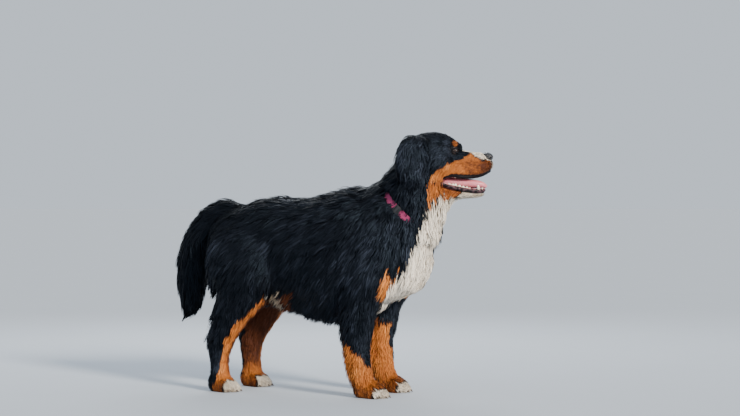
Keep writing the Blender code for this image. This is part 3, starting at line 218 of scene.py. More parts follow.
# The coat of the head's right side, in the head's own frame
HEAD_COAT = [
    Guide((0.030, -0.006, -0.004), (0.100, -0.006, -0.008), 0.030, (-1.0, -0.20, 0.05), 0.010, 0.0030, 0, 0),
    Guide((0.030, -0.040, -0.045), (0.095, -0.034, -0.045), 0.030, (-0.85, -0.1, -0.50), 0.012, 0.0035, 0, 0),
    Guide((0.112, -0.012, -0.045), (0.108, -0.020, -0.064), 0.018, (-0.40, -0.6, -0.70), 0.010, 0.0030, 0, 0),
    Guide((-0.02, -0.046, -0.080), (0.060, -0.038, -0.080), 0.020, (-0.55, -0.1, -0.80), 0.012, 0.0030, 0, 0),
    Guide((0.020, -0.020, -0.150), (0.090, -0.010, -0.142), 0.025, (-0.9, 0.0, -0.35), 0.015, 0.0045, 0.1, 0),
    Guide((-0.010, -0.035, -0.140), (0.04, -0.034, -0.135), 0.022, (-0.9, 0.0, -0.45), 0.016, 0.0045, 0.1, 0),
    Guide((0.000, -0.018, 0.030), (-0.060, -0.030, 0.055), 0.035, (-1.0, -0.25, 0.10), 0.016, 0.0045, 0, 0),
    Guide((0.01, -0.036, -0.024), (-0.03, -0.054, -0.02), 0.028, (-0.85, -0.2, -0.35), 0.012, 0.0035, 0, 0),
    Guide((-0.03, -0.064, -0.045), (-0.075, -0.07, -0.08), 0.03, (-0.6, -0.1, -0.78), 0.02, 0.006, 0, 0),
    Guide((-0.06, -0.05, -0.12), (-0.085, -0.05, -0.15), 0.035, (-0.25, -0.1, -0.96), 0.03, 0.01, 0.1, 0.001),
    Guide((-0.03, -0.01, -0.15), (-0.07, -0.01, -0.165), 0.035, (-0.3, 0, -0.95), 0.038, 0.022, 0.3, 0.002),
    Guide((-0.1, -0.02, 0.05), (-0.145, -0.03, 0.02), 0.04, (-0.95, -0.2, -0.25), 0.028, 0.0065, 0.1, 0.002),
    Guide((-0.11, -0.08, 0.03), (-0.13, -0.10, -0.02), 0.035, (-0.35, -0.2, -0.92), 0.046, 0.012, 0.3, 0.008),
    Guide((-0.13, -0.105, -0.04), (-0.125, -0.095, -0.115), 0.035, (-0.22, 0, -1), 0.058, 0.013, 0.8, 0.009),
    Guide((-0.09, -0.085, -0.01), (-0.092, -0.09, -0.09), 0.018, (-0.05, 0, -1.0), 0.044, 0.008, 0.6, 0.008),
]


# Shapes

def smooth_row(values, steps):
    """Values between the given rows on one smooth (Catmull-Rom) curve."""
    rows = np.array(values, float)
    ends = np.vstack([2 * rows[0] - rows[1], rows, 2 * rows[-1] - rows[-2]])
    made = []
    for i in range(len(rows) - 1):
        a, b, c, d = ends[i : i + 4]
        for s in range(steps):
            t = s / steps
            bend, twist = 2 * a - 5 * b + 4 * c - d, 3 * b - a - 3 * c + d
            made.append(0.5 * (2 * b + (c - a) * t + bend * t**2 + twist * t**3))
    made.append(rows[-1])
    return np.array(made)


def loft_shape(rings, sides=24, steps=4, across=Vector((0, 1, 0)), full=2.2):
    """Points and faces of a closed form through the rings, with rounded ends."""
    rows = smooth_row(rings, steps)
    rows[:, 3:] = np.maximum(rows[:, 3:], 0.0008)
    spine = rows[:, :3]
    along = np.gradient(spine, axis=0)
    along /= np.linalg.norm(along, axis=1)[:, None]
    caps = [math.radians(a) for a in (25, 55, 78)]
    stack = []
    for end, order in ((0, reversed(caps)), (-1, caps)):
        wide, deep = rows[end][4], rows[end][3]
        way = -along[0] if end == 0 else along[-1]
        cap = []
        for a in order:
            centre = spine[end] + way * (0.6 * min(deep, wide) * math.sin(a))
            cap.append((centre, along[end], deep * math.cos(a), wide * math.cos(a)))
        stack += cap
        if end == 0:
            stack += [(spine[i], along[i], rows[i][3], rows[i][4]) for i in range(len(rows))]
    points = []
    for centre, tangent, deep, wide in stack:
        tangent = Vector(tangent)
        side = (across - tangent * across.dot(tangent)).normalized()
        up = tangent.cross(side)
        for k in range(sides):
            a = 2 * math.pi * k / sides
            c, s = math.cos(a), math.sin(a)
            c = math.copysign(abs(c) ** (2 / full), c)
            s = math.copysign(abs(s) ** (2 / full), s)
            points.append(Vector(centre) + side * (wide * c) + up * (deep * s))
    faces = []
    for i in range(len(stack) - 1):
        for k in range(sides):
            n = (k + 1) % sides
            faces.append((i * sides + k, i * sides + n, (i + 1) * sides + n, (i + 1) * sides + k))
    faces.append(tuple(reversed(range(sides))))
    faces.append(tuple((len(stack) - 1) * sides + k for k in range(sides)))
    return points, faces


def new_object(name, points, faces):
    """A mesh object with its faces turned outward."""
    mesh = bpy.data.meshes.new(name)
    mesh.from_pydata([tuple(p) for p in points], [], faces)
    bm = bmesh.new()
    bm.from_mesh(mesh)
    bmesh.ops.recalc_face_normals(bm, faces=bm.faces)
    bm.to_mesh(mesh)
    bm.free()
    obj = bpy.data.objects.new(name, mesh)
    bpy.context.scene.collection.objects.link(obj)
    return obj


def loft(name, rings, place=Matrix.Identity(4), **how):
    points, faces = loft_shape(rings, **how)
    return new_object(name, [place @ p for p in points], faces)


def ball(name, centre, radii, place=Matrix.Identity(4), segments=28):
    """An egg: a sphere stretched to its three half sizes."""
    bm = bmesh.new()
    stretch = Matrix.Diagonal((*radii, 1.0))
    bmesh.ops.create_uvsphere(
        bm, u_segments=segments, v_segments=segments // 2, radius=1.0,
        matrix=place @ Matrix.Translation(centre) @ stretch,
    )
    mesh = bpy.data.meshes.new(name)
    bm.to_mesh(mesh)
    bm.free()
    obj = bpy.data.objects.new(name, mesh)
    bpy.context.scene.collection.objects.link(obj)
    return obj


def mirrored(rings, forward=0.0):
    """The same leg on the other side, its foot set forward and its root left in place."""
    top = rings[0].z
    return [
        r._replace(y=-r.y, x=r.x + forward * min(1.0, (top - r.z) / (0.75 * top)))
        for r in rings
    ]


def over(points, side):
    """Points of the right side, or the same points on the left side."""
    return [(x, y if side < 0 else -y, z) for x, y, z in points]


def joined(name, objects):
    """Several objects made one."""
    bpy.ops.object.select_all(action="DESELECT")
    for obj in objects:
        obj.select_set(True)
    bpy.context.view_layer.objects.active = objects[0]
    if len(objects) > 1:
        bpy.ops.object.join()
    whole = bpy.context.view_layer.objects.active
    whole.name = name
    whole.data.name = name
    return whole


def applied(obj):
    """The object with its modifiers made part of its mesh."""
    graph = bpy.context.evaluated_depsgraph_get()
    mesh = bpy.data.meshes.new_from_object(obj.evaluated_get(graph))
    obj.modifiers.clear()
    obj.data = mesh
    return obj


def remeshed(obj, voxel, rounds):
    """Overlapping forms made one soft surface."""
    remesh = obj.modifiers.new("one_skin", "REMESH")
    remesh.mode = "VOXEL"
    remesh.voxel_size = voxel
    soften = obj.modifiers.new("soften", "SMOOTH")
    soften.factor = 0.5
    soften.iterations = rounds
    return applied(obj)


# The skin

def toe_place(x, y, share):
    """Where a toe turns from, and how far forward it reaches: the two middle toes reach further."""
    turn = Matrix.Translation((x, y, 0)) @ Matrix.Rotation(math.radians(TOE_FAN * share), 4, "Z")
    return turn, (0.044 if abs(share) < 1 else 0.029)


def paw_shapes(name, centre, heel):
    """A paw: a pad body, four knuckled toes with gaps between them, and the heel."""
    x, y = centre
    parts = [
        ball(name + "_body", (x, y, 0.030), (0.038, 0.033, 0.028)),
        ball(name + "_heel", (x - heel, y, 0.037), (0.029, 0.029, 0.032)),
    ]
    for i, share in enumerate(TOES):
        turn, reach = toe_place(x, y, share)
        side = share * TOE_SPREAD
        knuckle, toe = (reach * 0.60, side, 0.0295), (reach, side * 1.03, 0.0195)
        parts.append(ball(f"{name}_knuckle_{i}", knuckle, (0.021, 0.0098, 0.0200), turn, segments=20))
        parts.append(ball(f"{name}_toe_{i}", toe, (0.0140, 0.0092, 0.0135), turn, segments=20))
    return parts


def body_flesh():
    """Trunk, neck, legs, tail and paws, with the shoulder and thigh muscles under the coat."""
    parts = [
        loft("trunk", TRUNK, sides=40, full=2.3),
        loft("neck", NECK, sides=36),
        loft("tail", TAIL, sides=18),
        ball("breast", *BREAST),
    ]
    for name, rings in (
        ("foreleg_right", FORELEG), ("foreleg_left", mirrored(FORELEG)),
        ("hindleg_right", HINDLEG), ("hindleg_left", mirrored(HINDLEG, HIND_STEP)),
    ):
        parts.append(loft(name, rings))
    for name, (centre, heel) in PAWS.items():
        parts += paw_shapes(name, centre, heel)
    return parts


def lip_rings(line, deep, wide):
    """A rounded lip along a line of points, thinner at its ends."""
    count = len(line)
    made = []
    for i, (x, y, z) in enumerate(line):
        swell = 0.62 + 0.38 * math.sin(math.pi * (i + 0.6) / count)
        made.append(Ring(x, y, z, deep * swell, wide * swell))
    return made


def jaw_rings():
    """The lower jaw from its hinge to the chin, in the head's own frame."""
    return [
        Ring(-0.085, 0, -0.106, 0.032, 0.040),
        Ring(-0.050, 0, -0.124, 0.024, 0.036),
        Ring(-0.010, 0, -0.135, 0.016, 0.031),
        Ring(0.030, 0, -0.139, 0.0125, 0.028),
        Ring(0.070, 0, -0.139, 0.0115, 0.022),
        Ring(0.090, 0, -0.136, 0.009, 0.014),
    ]


def ear_rings(s):
    """The ear flap, root first."""
    return [
        Ring(-0.104, s * 0.052, 0.030, 0.010, 0.022),
        Ring(-0.116, s * 0.070, 0.022, 0.009, 0.036),
        Ring(-0.130, s * 0.083, 0.000, 0.008, 0.044),
        Ring(-0.136, s * 0.089, -0.036, 0.0065, 0.044),
        Ring(-0.132, s * 0.090, -0.072, 0.0055, 0.036),
        Ring(-0.118, s * 0.087, -0.104, 0.0045, 0.018),
    ]


def head_flesh():
    """Skull, cheeks, brows, the muzzle with its hanging lips, the open lower jaw and the ears."""

    def egg(name, centre, radii):
        return ball(name, centre, radii, HEAD)

    parts = [
        egg("skull", (-0.072, 0, -0.002), (0.085, 0.067, 0.057)),
        egg("back_skull", (-0.112, 0, -0.012), (0.049, 0.058, 0.050)),
        egg("throat", (-0.085, 0, -0.075), (0.058, 0.048, 0.060)),
        egg("stop", (0.016, 0, -0.0185), (0.034, 0.018, 0.0175)),
    ]
    muzzle = [
        Ring(-0.022, 0, -0.036, 0.036, 0.041),
        Ring(0.020, 0, -0.036, 0.0315, 0.0365),
        Ring(0.055, 0, -0.037, 0.0290, 0.0345),
        Ring(0.082, 0, -0.038, 0.0280, 0.0335),
        Ring(0.096, 0, -0.043, 0.0240, 0.0265),
        Ring(0.110, 0, -0.050, 0.0180, 0.0190),
    ]
    palate = [
        Ring(-0.040, 0, -0.080, 0.0170, 0.034),
        Ring(0.000, 0, -0.0785, 0.0160, 0.034),
        Ring(0.045, 0, -0.0745, 0.0145, 0.029),
        Ring(0.085, 0, -0.069, 0.0100, 0.017),
    ]
    parts.append(loft("muzzle", muzzle, HEAD, full=2.4))
    parts.append(loft("palate", palate, HEAD))
    parts.append(egg("gullet", (-0.052, 0, -0.100), (0.026, 0.040, 0.020)))
    parts.append(loft("jaw", jaw_rings(), HEAD, sides=24, full=2.5))
    across = HEAD.to_3x3() @ Vector((1, 0, 0))
    for s in (-1, 1):
        parts += [
            egg(f"brow_{s}", (-0.005, s * 0.022, 0.006), (0.028, 0.022, 0.021)),
            egg(f"brow_ridge_{s}", (-0.004, s * 0.032, 0.013), (0.018, 0.011, 0.008)),
            egg(f"cheek_{s}", (-0.062, s * 0.043, -0.046), (0.058, 0.029, 0.046)),
            egg(f"jaw_muscle_{s}", (-0.072, s * 0.046, -0.086), (0.034, 0.020, 0.036)),
            egg(f"under_eye_{s}", (0.012, s * 0.025, -0.033), (0.050, 0.0205, 0.027)),
            egg(f"whisker_pad_{s}", (0.078, s * 0.022, -0.052), (0.034, 0.0165, 0.021)),
        ]
        flews = [
            Ring(-0.036, s * 0.040, -0.068, 0.018, 0.0085),
            Ring(0.000, s * 0.0385, -0.067, 0.020, 0.0085),
            Ring(0.040, s * 0.0345, -0.069, 0.021, 0.0085),
            Ring(0.075, s * 0.0275, -0.066, 0.020, 0.0095),
            Ring(0.098, s * 0.0165, -0.060, 0.0165, 0.0095),
            Ring(0.110, s * 0.0050, -0.056, 0.0140, 0.0080),
        ]
        parts.append(loft(f"flews_{s}", flews, HEAD, sides=18))
        parts.append(loft(f"upper_lip_{s}", lip_rings(over(UPPER_LIP, s), 0.0046, 0.0046), HEAD, sides=14))
        parts.append(loft(f"lower_lip_{s}", lip_rings(over(LOWER_LIP, s), 0.0062, 0.0050), HEAD, sides=14))
        parts.append(loft(f"ear_{s}", ear_rings(s), HEAD, sides=20, steps=4, across=across))
    return parts


def lid_shapes(s):
    """Upper and lower eyelids: rims bent over the eyeball, meeting at the corners."""
    made = []
    out = Vector((EYE_LOOKS.x, s * EYE_LOOKS.y, 0.0)).normalized()
    side = Vector((0, 0, 1)).cross(out).normalized()
    centre = Vector((EYE_AT.x, s * EYE_AT.y, EYE_AT.z))
    for upper, bow in ((True, 0.56), (False, -0.52)):
        rings = []
        for k in range(9):
            a = math.radians(-80 + 20 * k)
            rise = math.cos(a) * bow
            way = out * math.sqrt(max(0.05, 1 - rise * rise)) * math.cos(a * 0.92)
            way = (way + side * math.sin(a * 0.92) + Vector((0, 0, rise))).normalized()
            at = centre + way * (EYE_RADIUS + 0.0004)
            thick = 0.0015 + (0.0012 if upper else 0.0006) * math.cos(a)
            rings.append(Ring(at.x, at.y, at.z, thick, thick))
        made.append(loft(f"lid_{s}_{upper}", rings, HEAD, sides=12, steps=3, across=Vector((0, 0, 1))))
    return made


def cut(obj, cutter, operation="DIFFERENCE"):
    """One Boolean with another object, which is then removed."""
    modifier = obj.modifiers.new("cut", "BOOLEAN")
    modifier.operation = operation
    modifier.object = cutter
    modifier.solver = "MANIFOLD"
    applied(obj)
    bpy.data.objects.remove(cutter)
    return obj


def make_skin():
    """The body and the finer head made one closed skin, with sockets and lids for the eyes."""
    body = remeshed(joined("body", body_flesh()), BODY_VOXEL, 10)
    head = remeshed(joined("head", head_flesh()), HEAD_VOXEL, 5)
    for s in (-1, 1):
        out = Vector((EYE_LOOKS.x, s * EYE_LOOKS.y, 0.0)).normalized()
        at = Vector((EYE_AT.x, s * EYE_AT.y, EYE_AT.z))
        turn = Matrix.Translation(at + out * 0.009) @ Matrix.Rotation(math.atan2(out.y, out.x), 4, "Z")
        cut(head, ball("socket", (0, 0, 0), (0.012, 0.0118, 0.0080), HEAD @ turn))
        cut(head, ball("eye_room", at, [EYE_RADIUS + 0.0002] * 3, HEAD))
        for lid in lid_shapes(s):
            cut(head, lid, "UNION")
    skin = cut(body, head, "UNION")
    skin.name = "skin"
    skin.data.name = "skin"
    for vertex in skin.data.vertices:
        vertex.co.z = max(vertex.co.z, FLAT_LEVEL)
    return kept_largest(skin)


def kept_largest(obj):
    """The object with only its largest closed surface kept."""
    bm = bmesh.new()
    bm.from_mesh(obj.data)
    bmesh.ops.triangulate(bm, faces=bm.faces)
    bm.faces.ensure_lookup_table()
    seen = np.zeros(len(bm.faces), bool)
    groups = []
    for face in bm.faces:
        if seen[face.index]:
            continue
        group, stack = [], [face]
        seen[face.index] = True
        while stack:
            here = stack.pop()
            group.append(here)
            for edge in here.edges:
                for other in edge.link_faces:
                    if not seen[other.index]:
                        seen[other.index] = True
                        stack.append(other)
        groups.append(group)
    groups.sort(key=len, reverse=True)
    spare = [face for group in groups[1:] for face in group]
    bmesh.ops.delete(bm, geom=spare, context="FACES")
    bm.to_mesh(obj.data)
    bm.free()
    return obj


# Places and markings

def soft(signed, edge):
    """1 well inside, 0 well outside, with a smooth edge of some width round zero."""
    t = np.clip(signed / edge * 0.5 + 0.5, 0.0, 1.0)
    return t * t * (3 - 2 * t)


def ripple(points, size, seed):
    """A smooth uneven field between about -1 and 1, with patches of some size."""
    rng = np.random.default_rng(seed)
    total = np.zeros(len(points))
    for _ in range(6):
        way = rng.normal(size=3)
        way *= rng.uniform(0.7, 1.4) * 2 * math.pi / (size * np.linalg.norm(way))
        total += np.sin(points @ way + rng.uniform(0, 2 * math.pi))
    return total / 3.0


def in_head(points):
    """Points in the head's own frame."""
    to_head = np.array(HEAD.inverted())
    return points @ to_head[:3, :3].T + to_head[:3, 3]


def along_line(points, line):
    """The distance of points from a line of points."""
    best = np.full(len(points), 1e9)
    for start, end in zip(np.array(line[:-1], float), np.array(line[1:], float)):
        run = end - start
        t = np.clip(((points - start) @ run) / (run @ run), 0, 1)
        best = np.minimum(best, np.linalg.norm(points - start - t[:, None] * run, axis=1))
    return best


# How far the dark of the lips reaches from the upper and from the lower lip line, and the room of the mouth
UPPER_DARK, LOWER_DARK = 0.0118, 0.0105
MOUTH_ROOM = ((-0.072, 0.108), (0.0, 0.045), (-0.138, -0.040))


def lip_distance(points):
    """How far points of the head lie outside the dark of the lips."""
    right = in_head(points)
    right[:, 1] = -np.abs(right[:, 1])
    return np.minimum(along_line(right, UPPER_LIP) - UPPER_DARK, along_line(right, LOWER_LIP) - LOWER_DARK)


def inside_lips(head, line):
    """How far points of the head lie inside a lip line, seen from above."""
    u, v, _ = np.array(line).T
    return np.interp(head[:, 0], u, -v, right=-1.0) - np.abs(head[:, 1])


def mouth_masks(points, normals, tree):
    """How far points belong to the dark lips and to the moist inside of the mouth, and which are below."""
    lip = soft(-lip_distance(points), 0.0025)
    head = in_head(points)
    above, below = inside_lips(head, UPPER_LIP), inside_lips(head, LOWER_LIP)
    head[:, 1] = np.abs(head[:, 1])
    w = head[:, 2]
    upward = normals @ np.array(HEAD.to_3x3())[:, 2]
    room = [(head[:, k] > low) & (head[:, k] < high) for k, (low, high) in enumerate(MOUTH_ROOM)]
    room = np.all(room, axis=0) & (np.maximum(above, below) > 0.0)
    palate = ((upward < -0.2) | (w < -0.080)) & (above > 0.002) & (w > -0.099)
    floor = (upward > 0.3) & (below > 0.002) & (w < -0.092)
    forward = normals @ np.array(HEAD.to_3x3())[:, 0]
    back = (forward > 0.25) & (head[:, 0] > -0.100) & (head[:, 0] < -0.030) & (head[:, 1] < 0.034)
    back &= (w > -0.122) & (w < -0.060)
    mouth = (back | room & (palate | floor)).astype(float)
    for i in np.flatnonzero(room & ~palate & ~floor & ~back & (w > -0.128)):
        point, normal = Vector(points[i]), Vector(normals[i])
        mouth[i] = tree.ray_cast(point + normal * 0.0008, normal, 0.085)[0] is not None
    head[:, 1] *= -1
    lower = along_line(head, LOWER_LIP) < along_line(head, UPPER_LIP)
    return lip, mouth, lower


def in_gap(points):
    """Which points lie between the open lips."""
    u, v, w = in_head(points).T
    lines = (np.array(line)[:, [0, 2]].T for line in (UPPER_LIP, LOWER_LIP))
    upper, lower = (np.interp(u, *line, left=-1.0) for line in lines)
    return (u < 0.11) & (np.abs(v) < 0.062) & (w < upper - 0.001) & (w > lower)


# Edges of the markings on the head: height of the rust's upper and lower edge along the head
RUST_TOP = (
    (-0.092, -0.080, -0.062, -0.034, 0.007, 0.034, 0.048, 0.060, 0.092),
    (-0.118, -0.094, -0.073, -0.056, -0.036, -0.022, -0.010, 0.004, 0.004),
)
RUST_FOOT = (
    (-0.100, -0.070, -0.040, -0.010, 0.010, 0.026, 0.100),
    (-0.205, -0.190, -0.174, -0.164, -0.152, -0.132, -0.124),
)
BROW_DOT = (-0.001, 0.022), (0.0080, 0.0115)
CHEEK_SPOT = (-0.068, -0.113), (0.006, 0.006)
THROAT_FLECK = (-0.012, -0.178), (0.014, 0.028)
BELOW_NOSE = (0.112, -0.050), (0.028, 0.028)
BLAZE_WIDTH = ((-0.06, -0.04, 0.01, 0.035, 0.06, 0.08, 0.10), (0.0, 0.003, 0.004, 0.010, 0.017, 0.026, 0.030))

# The white of the chest by height: how far forward it starts on either side, and its edge on the left side
CHEST_HEIGHT = (0.24, 0.303, 0.342, 0.375, 0.395, 0.434, 0.516, 0.549, 0.582, 0.615, 0.66, 0.70)
CHEST_START = (0.205, 0.216, 0.240, 0.252, 0.294, 0.322, 0.342, 0.364, 0.376, 0.384, 0.392, 0.394)
CHEST_SLANT = 0.404
CHEST_LEFT = ((0.30, 0.345, 0.370, 0.50, 0.55, 0.60), (0.11, 0.070, 0.016, 0.018, 0.045, 0.10))
SHOULDER_PATCH = (0.298, 0.346, 0.025, 0.050)
# Where the rust of the hind legs starts, by height, in shares of the leg's depth forward of its middle
HIND_RUST = ((0.03, 0.05, 0.10, 0.15, 0.20, 0.25, 0.30, 0.34), (-1.0, -0.42, 0.19, 0.4, 0.66, 1.02, 1.3, 1.6))


def oval(across, up, middle, size, rim=0.3):
    """1 inside an oval with a soft rim."""
    return soft(1 - np.hypot((across - middle[0]) / size[0], (up - middle[1]) / size[1]), rim)


def head_markings(points):
    """The rust and white of the head."""
    head = in_head(points) + 0.0022 * np.array([ripple(points, 0.022, SEED + i) for i in range(3)]).T
    u, v, w = head[:, 0], np.abs(head[:, 1]), head[:, 2]
    rust = soft(np.interp(u, *RUST_TOP) - w, 0.007) * soft(w - np.interp(u, *RUST_FOOT), 0.010)
    rust *= soft(u + 0.084, 0.008)
    rust = np.maximum(rust, oval(u, w, *BROW_DOT) * soft(v - 0.014, 0.006))
    rust = np.maximum(rust, oval(u, w, *THROAT_FLECK) * soft(head[:, 1] - 0.006, 0.006))
    rust *= 1 - oval(u, w, *CHEEK_SPOT)
    blaze = soft(np.interp(u, *BLAZE_WIDTH) - v, 0.004) * soft(w + 0.028, 0.008) * soft(u + 0.055, 0.01)
    snout = soft(u - 0.056, 0.012) * soft(w + 0.016 + (u - 0.056) * 0.48, 0.010)
    snout *= 1 - soft(u - 0.094, 0.004) * soft(-0.030 - w, 0.006) * soft(v - 0.006, 0.004)
    front = soft(np.minimum(0.014 - v, u - 0.090), 0.003) * soft(-0.030 - w, 0.006) * soft(w + 0.10, 0.01)
    chin = soft(np.interp(u, *RUST_FOOT) - w, 0.006) * soft(u + 0.110, 0.02)
    white = np.maximum.reduce([blaze, snout, front, chin])
    return rust * (1 - white), white


def groin_share(points):
    """1 in the pale fold in front of each hind leg."""
    x, y, z = points.T
    return soft(1 - np.hypot((x + 0.132) / 0.016, (z - 0.312) / 0.031), 0.5) * (np.abs(y) < 0.14)


def body_markings(points):
    """The rust and white of the chest and legs."""
    moved = points + 0.006 * np.array([ripple(points, 0.045, SEED + 5 + i) for i in range(3)]).T
    x, y, z = moved.T
    white = soft(x - CHEST_SLANT * np.abs(y) - np.interp(z, CHEST_HEIGHT, CHEST_START), 0.010)
    white *= soft(np.interp(z, *CHEST_LEFT) - y, 0.008) * soft(z - 0.235, 0.02)
    white *= soft(np.interp(z, (0.32, 0.345), (0.058, 0.20)) - np.abs(y), 0.008)
    white = np.maximum(white, groin_share(moved))
    away = np.hypot((x - SHOULDER_PATCH[0]) / SHOULDER_PATCH[2], (z - SHOULDER_PATCH[1]) / SHOULDER_PATCH[3])
    rust = soft(1 - away, 0.25) * soft(np.abs(y) - 0.055, 0.010)
    outer = np.clip((np.abs(y) - 0.094) / 0.020, -1, 1)
    ahead = np.clip((x - 0.185) / 0.028, -1, 1)
    top = 0.142 - 0.030 * ahead * (outer > 0) + 0.092 * np.clip(-outer, 0, 1)
    fore = soft(top - z, 0.014) * (x > 0.08)
    levels, *rows = np.array(HINDLEG)[::-1, [2, 0, 1, 3, 4]].T
    leg_x, leg_y, deep, wide = (np.interp(z, levels, row) for row in rows)
    step = np.where(y > 0, HIND_STEP, 0.0) * np.clip((0.52 - z) / 0.39, 0, 1)
    dx = (x - step - leg_x) / deep
    dy = (-leg_y - np.abs(y)) / wide
    ahead = dx * 0.95 + 0.25 * np.minimum(dy, 0) + 1.10 * np.maximum(dy, 0)
    hind = soft(ahead - np.interp(z, *HIND_RUST), 0.16) * soft(0.335 - z, 0.014)
    hind *= (x < -0.08) & (np.abs(y) > 0.02)
    rust = np.maximum.reduce([rust, fore, hind])
    toes = np.zeros(len(points))
    for (paw_x, paw_y), _ in PAWS.values():
        near = (np.abs(points - (paw_x, paw_y, 0)) < (0.10, 0.06, 0.08)).all(axis=1)
        start, top = (0.026, 0.052) if paw_x < 0 else (0.032, 0.042)
        beside = np.min([np.abs(y - paw_y - share * TOE_SPREAD) for share in TOES], axis=0)
        reach = x - paw_x - start + np.abs(y - paw_y) * 0.25 - np.clip(beside - 0.004, 0, 0.004) * 2.5
        toes = np.maximum(toes, near * soft(reach, 0.008) * soft(top - z, 0.010))
    white = np.maximum(white, toes)
    return rust * (1 - white), white


def shading(points):
    """How much lighter or deeper the hair's colour is in places. The short hair of the skull and the ears are
    lighter: painted sheen. The insides of the hind legs, the lower flanks in front of them and the pale groin
    folds are deeper: painted shade under the belly. The whisker pads, the brow dots, the hair above the toes,
    below the nose and beside the lips are deeper, and broad patches vary at random."""
    head = in_head(points)
    u, w = head[:, 0], head[:, 2]
    rows = 0.5 + 0.5 * np.sin(2 * math.pi * (w + 0.30 * u) / 0.0085)
    pad = oval(u, w, (0.066, -0.052), (0.034, 0.022)) * (0.35 + 0.65 * rows)
    # Painted sheen: the short hair on the sides of the skull is made lighter
    painted_temple_sheen = oval(u, w, (-0.040, 0.004), (0.046, 0.052)) * soft(np.abs(head[:, 1]) - 0.03, 0.01)
    paw = soft(0.070 - points[:, 2], 0.030)
    # Painted shade: the insides of the hind legs, under the belly, are made deeper
    inner = soft(0.100 - np.abs(points[:, 1]), 0.012) * soft(points[:, 2] - 0.10, 0.06)
    inner *= points[:, 0] < -0.08
    # Painted sheen: the ears are made lighter
    ear = soft(np.abs(head[:, 1]) - 0.070, 0.008) * soft(-0.085 - u, 0.01)
    broad = 0.10 * ripple(points, 0.150, SEED + 8)
    # Painted shade: the lower flanks in front of the hind legs, under the belly, are made deeper
    flank = soft(0.052 - np.abs(points[:, 0] + 0.066), 0.012) * (points[:, 2] < 0.40)
    spots = [0.46 * pad, 0.45 * oval(u, w, *BROW_DOT), 0.50 * paw, 1.00 * inner, 0.60 * flank]
    # The groin share here is painted shade: it dulls the pale folds under the belly
    spots += [0.80 * oval(u, w, *BELOW_NOSE, rim=0.8), 0.50 * groin_share(points)]
    spots.append(0.45 * soft(0.0045 - lip_distance(points), 0.0045))
    deeper = np.maximum.reduce(spots)
    return 0.24 * painted_temple_sheen + 0.16 * ear + broad - deeper


def markings(points):
    """How much rust and how much white there is at points of the coat; what is left is black."""
    head = in_head(points)
    share = soft(head[:, 0] + 0.096, 0.012) * soft(head[:, 2] + 0.215, 0.03)
    rust_head, white_head = head_markings(points)
    rust_body, white_body = body_markings(points)
    rust = rust_body + (rust_head - rust_body) * share
    white = np.maximum(white_body * (1 - share), white_head * share)
    low = soft(-0.185 - head[:, 2], 0.03)
    white = np.maximum(white, white_body * low)
    return np.clip(rust * (1 - white), 0, 1), np.clip(white, 0, 1)


# The coat

def guide_arrays(guides):
    """The guides as arrays, in the frame that they are given in."""
    rows = [(g.start, g.end, g.reach, g.lie, (g.length, g.lift, g.freedom, g.wave)) for g in guides]
    starts, ends, reach, lies, traits = (np.array(column, float) for column in zip(*rows))
    return starts, ends - starts, reach, lies / np.linalg.norm(lies, axis=1)[:, None], traits


def weighed(points, guides):
    """The summed lie and traits of the guides near points of the right side, and their weights."""
    starts, runs, reach, lies, traits = guides
    lie, trait, total = [], [], []
    for block in np.array_split(points, max(1, len(points) // 20000)):
        offset = block[:, None, :] - starts[None]
        t = np.clip((offset * runs).sum(axis=2) / (runs**2).sum(axis=1), 0, 1)
        away = np.linalg.norm(offset - t[..., None] * runs, axis=2) / reach
        weight = 1.0 / (0.03 + away**4)
        lie.append(weight @ lies)
        trait.append(weight @ traits)
        total.append(weight.sum(axis=1))
    return np.concatenate(lie), np.concatenate(trait), np.concatenate(total)


def coat_at(points):
    """The lie and the length, lift, freedom and wave of the hair at points."""
    flip = np.where(points[:, 1:2] > 0, -1.0, 1.0)
    right = points * np.hstack([np.ones_like(flip), flip, np.ones_like(flip)])
    lie, trait, total = weighed(right, guide_arrays(COAT))
    lie[:, 1:2] *= flip
    head = in_head(points)
    flip = np.where(head[:, 1:2] > 0, -1.0, 1.0)
    right = head * np.hstack([np.ones_like(flip), flip, np.ones_like(flip)])
    head_lie, head_trait, head_total = weighed(right, guide_arrays(HEAD_COAT))
    head_lie[:, 1:2] *= flip
    lie += head_lie @ np.array(HEAD.to_3x3()).T
    trait = (trait + head_trait) / (total + head_total)[:, None]
    return lie / np.linalg.norm(lie, axis=1)[:, None], trait


def nearest_on(tree, points):
    """The nearest points of the skin and its normals there."""
    near, normals = np.empty_like(points), np.empty_like(points)
    for i, point in enumerate(points.tolist()):
        found, normal, _, _ = tree.find_nearest(point)
        near[i] = found
        normals[i] = normal
    return near, normals


def unit(vectors):
    return vectors / np.maximum(np.linalg.norm(vectors, axis=-1, keepdims=True), 1e-9)


def dotted(a, b):
    return (a * b).sum(axis=-1, keepdims=True)


# Shares of a tuft's length where it has a row of points, and its width and rise there
STATIONS = np.array((0.0, 0.18, 0.44, 0.74, 1.0))
TUFT_WIDTH = np.array((0.62, 1.0, 0.92, 0.58, 0.0))
TUFT_RISE = np.array((-0.04, 0.42, 0.72, 0.92, 1.0))
SHORT_STATIONS = (0, 1, 3, 4)
SHORT_TUFT = 0.032
LONG_SPACING, SHORT_SPACING = 0.0044, 0.00185
TUFT_SPREAD = 0.0011, 0.044
RIDGE = 0.42
PATCH = 0.003
WAVE_LENGTH = 0.062
CLUMPS = ((0.030, 0.50), (0.011, 0.62))


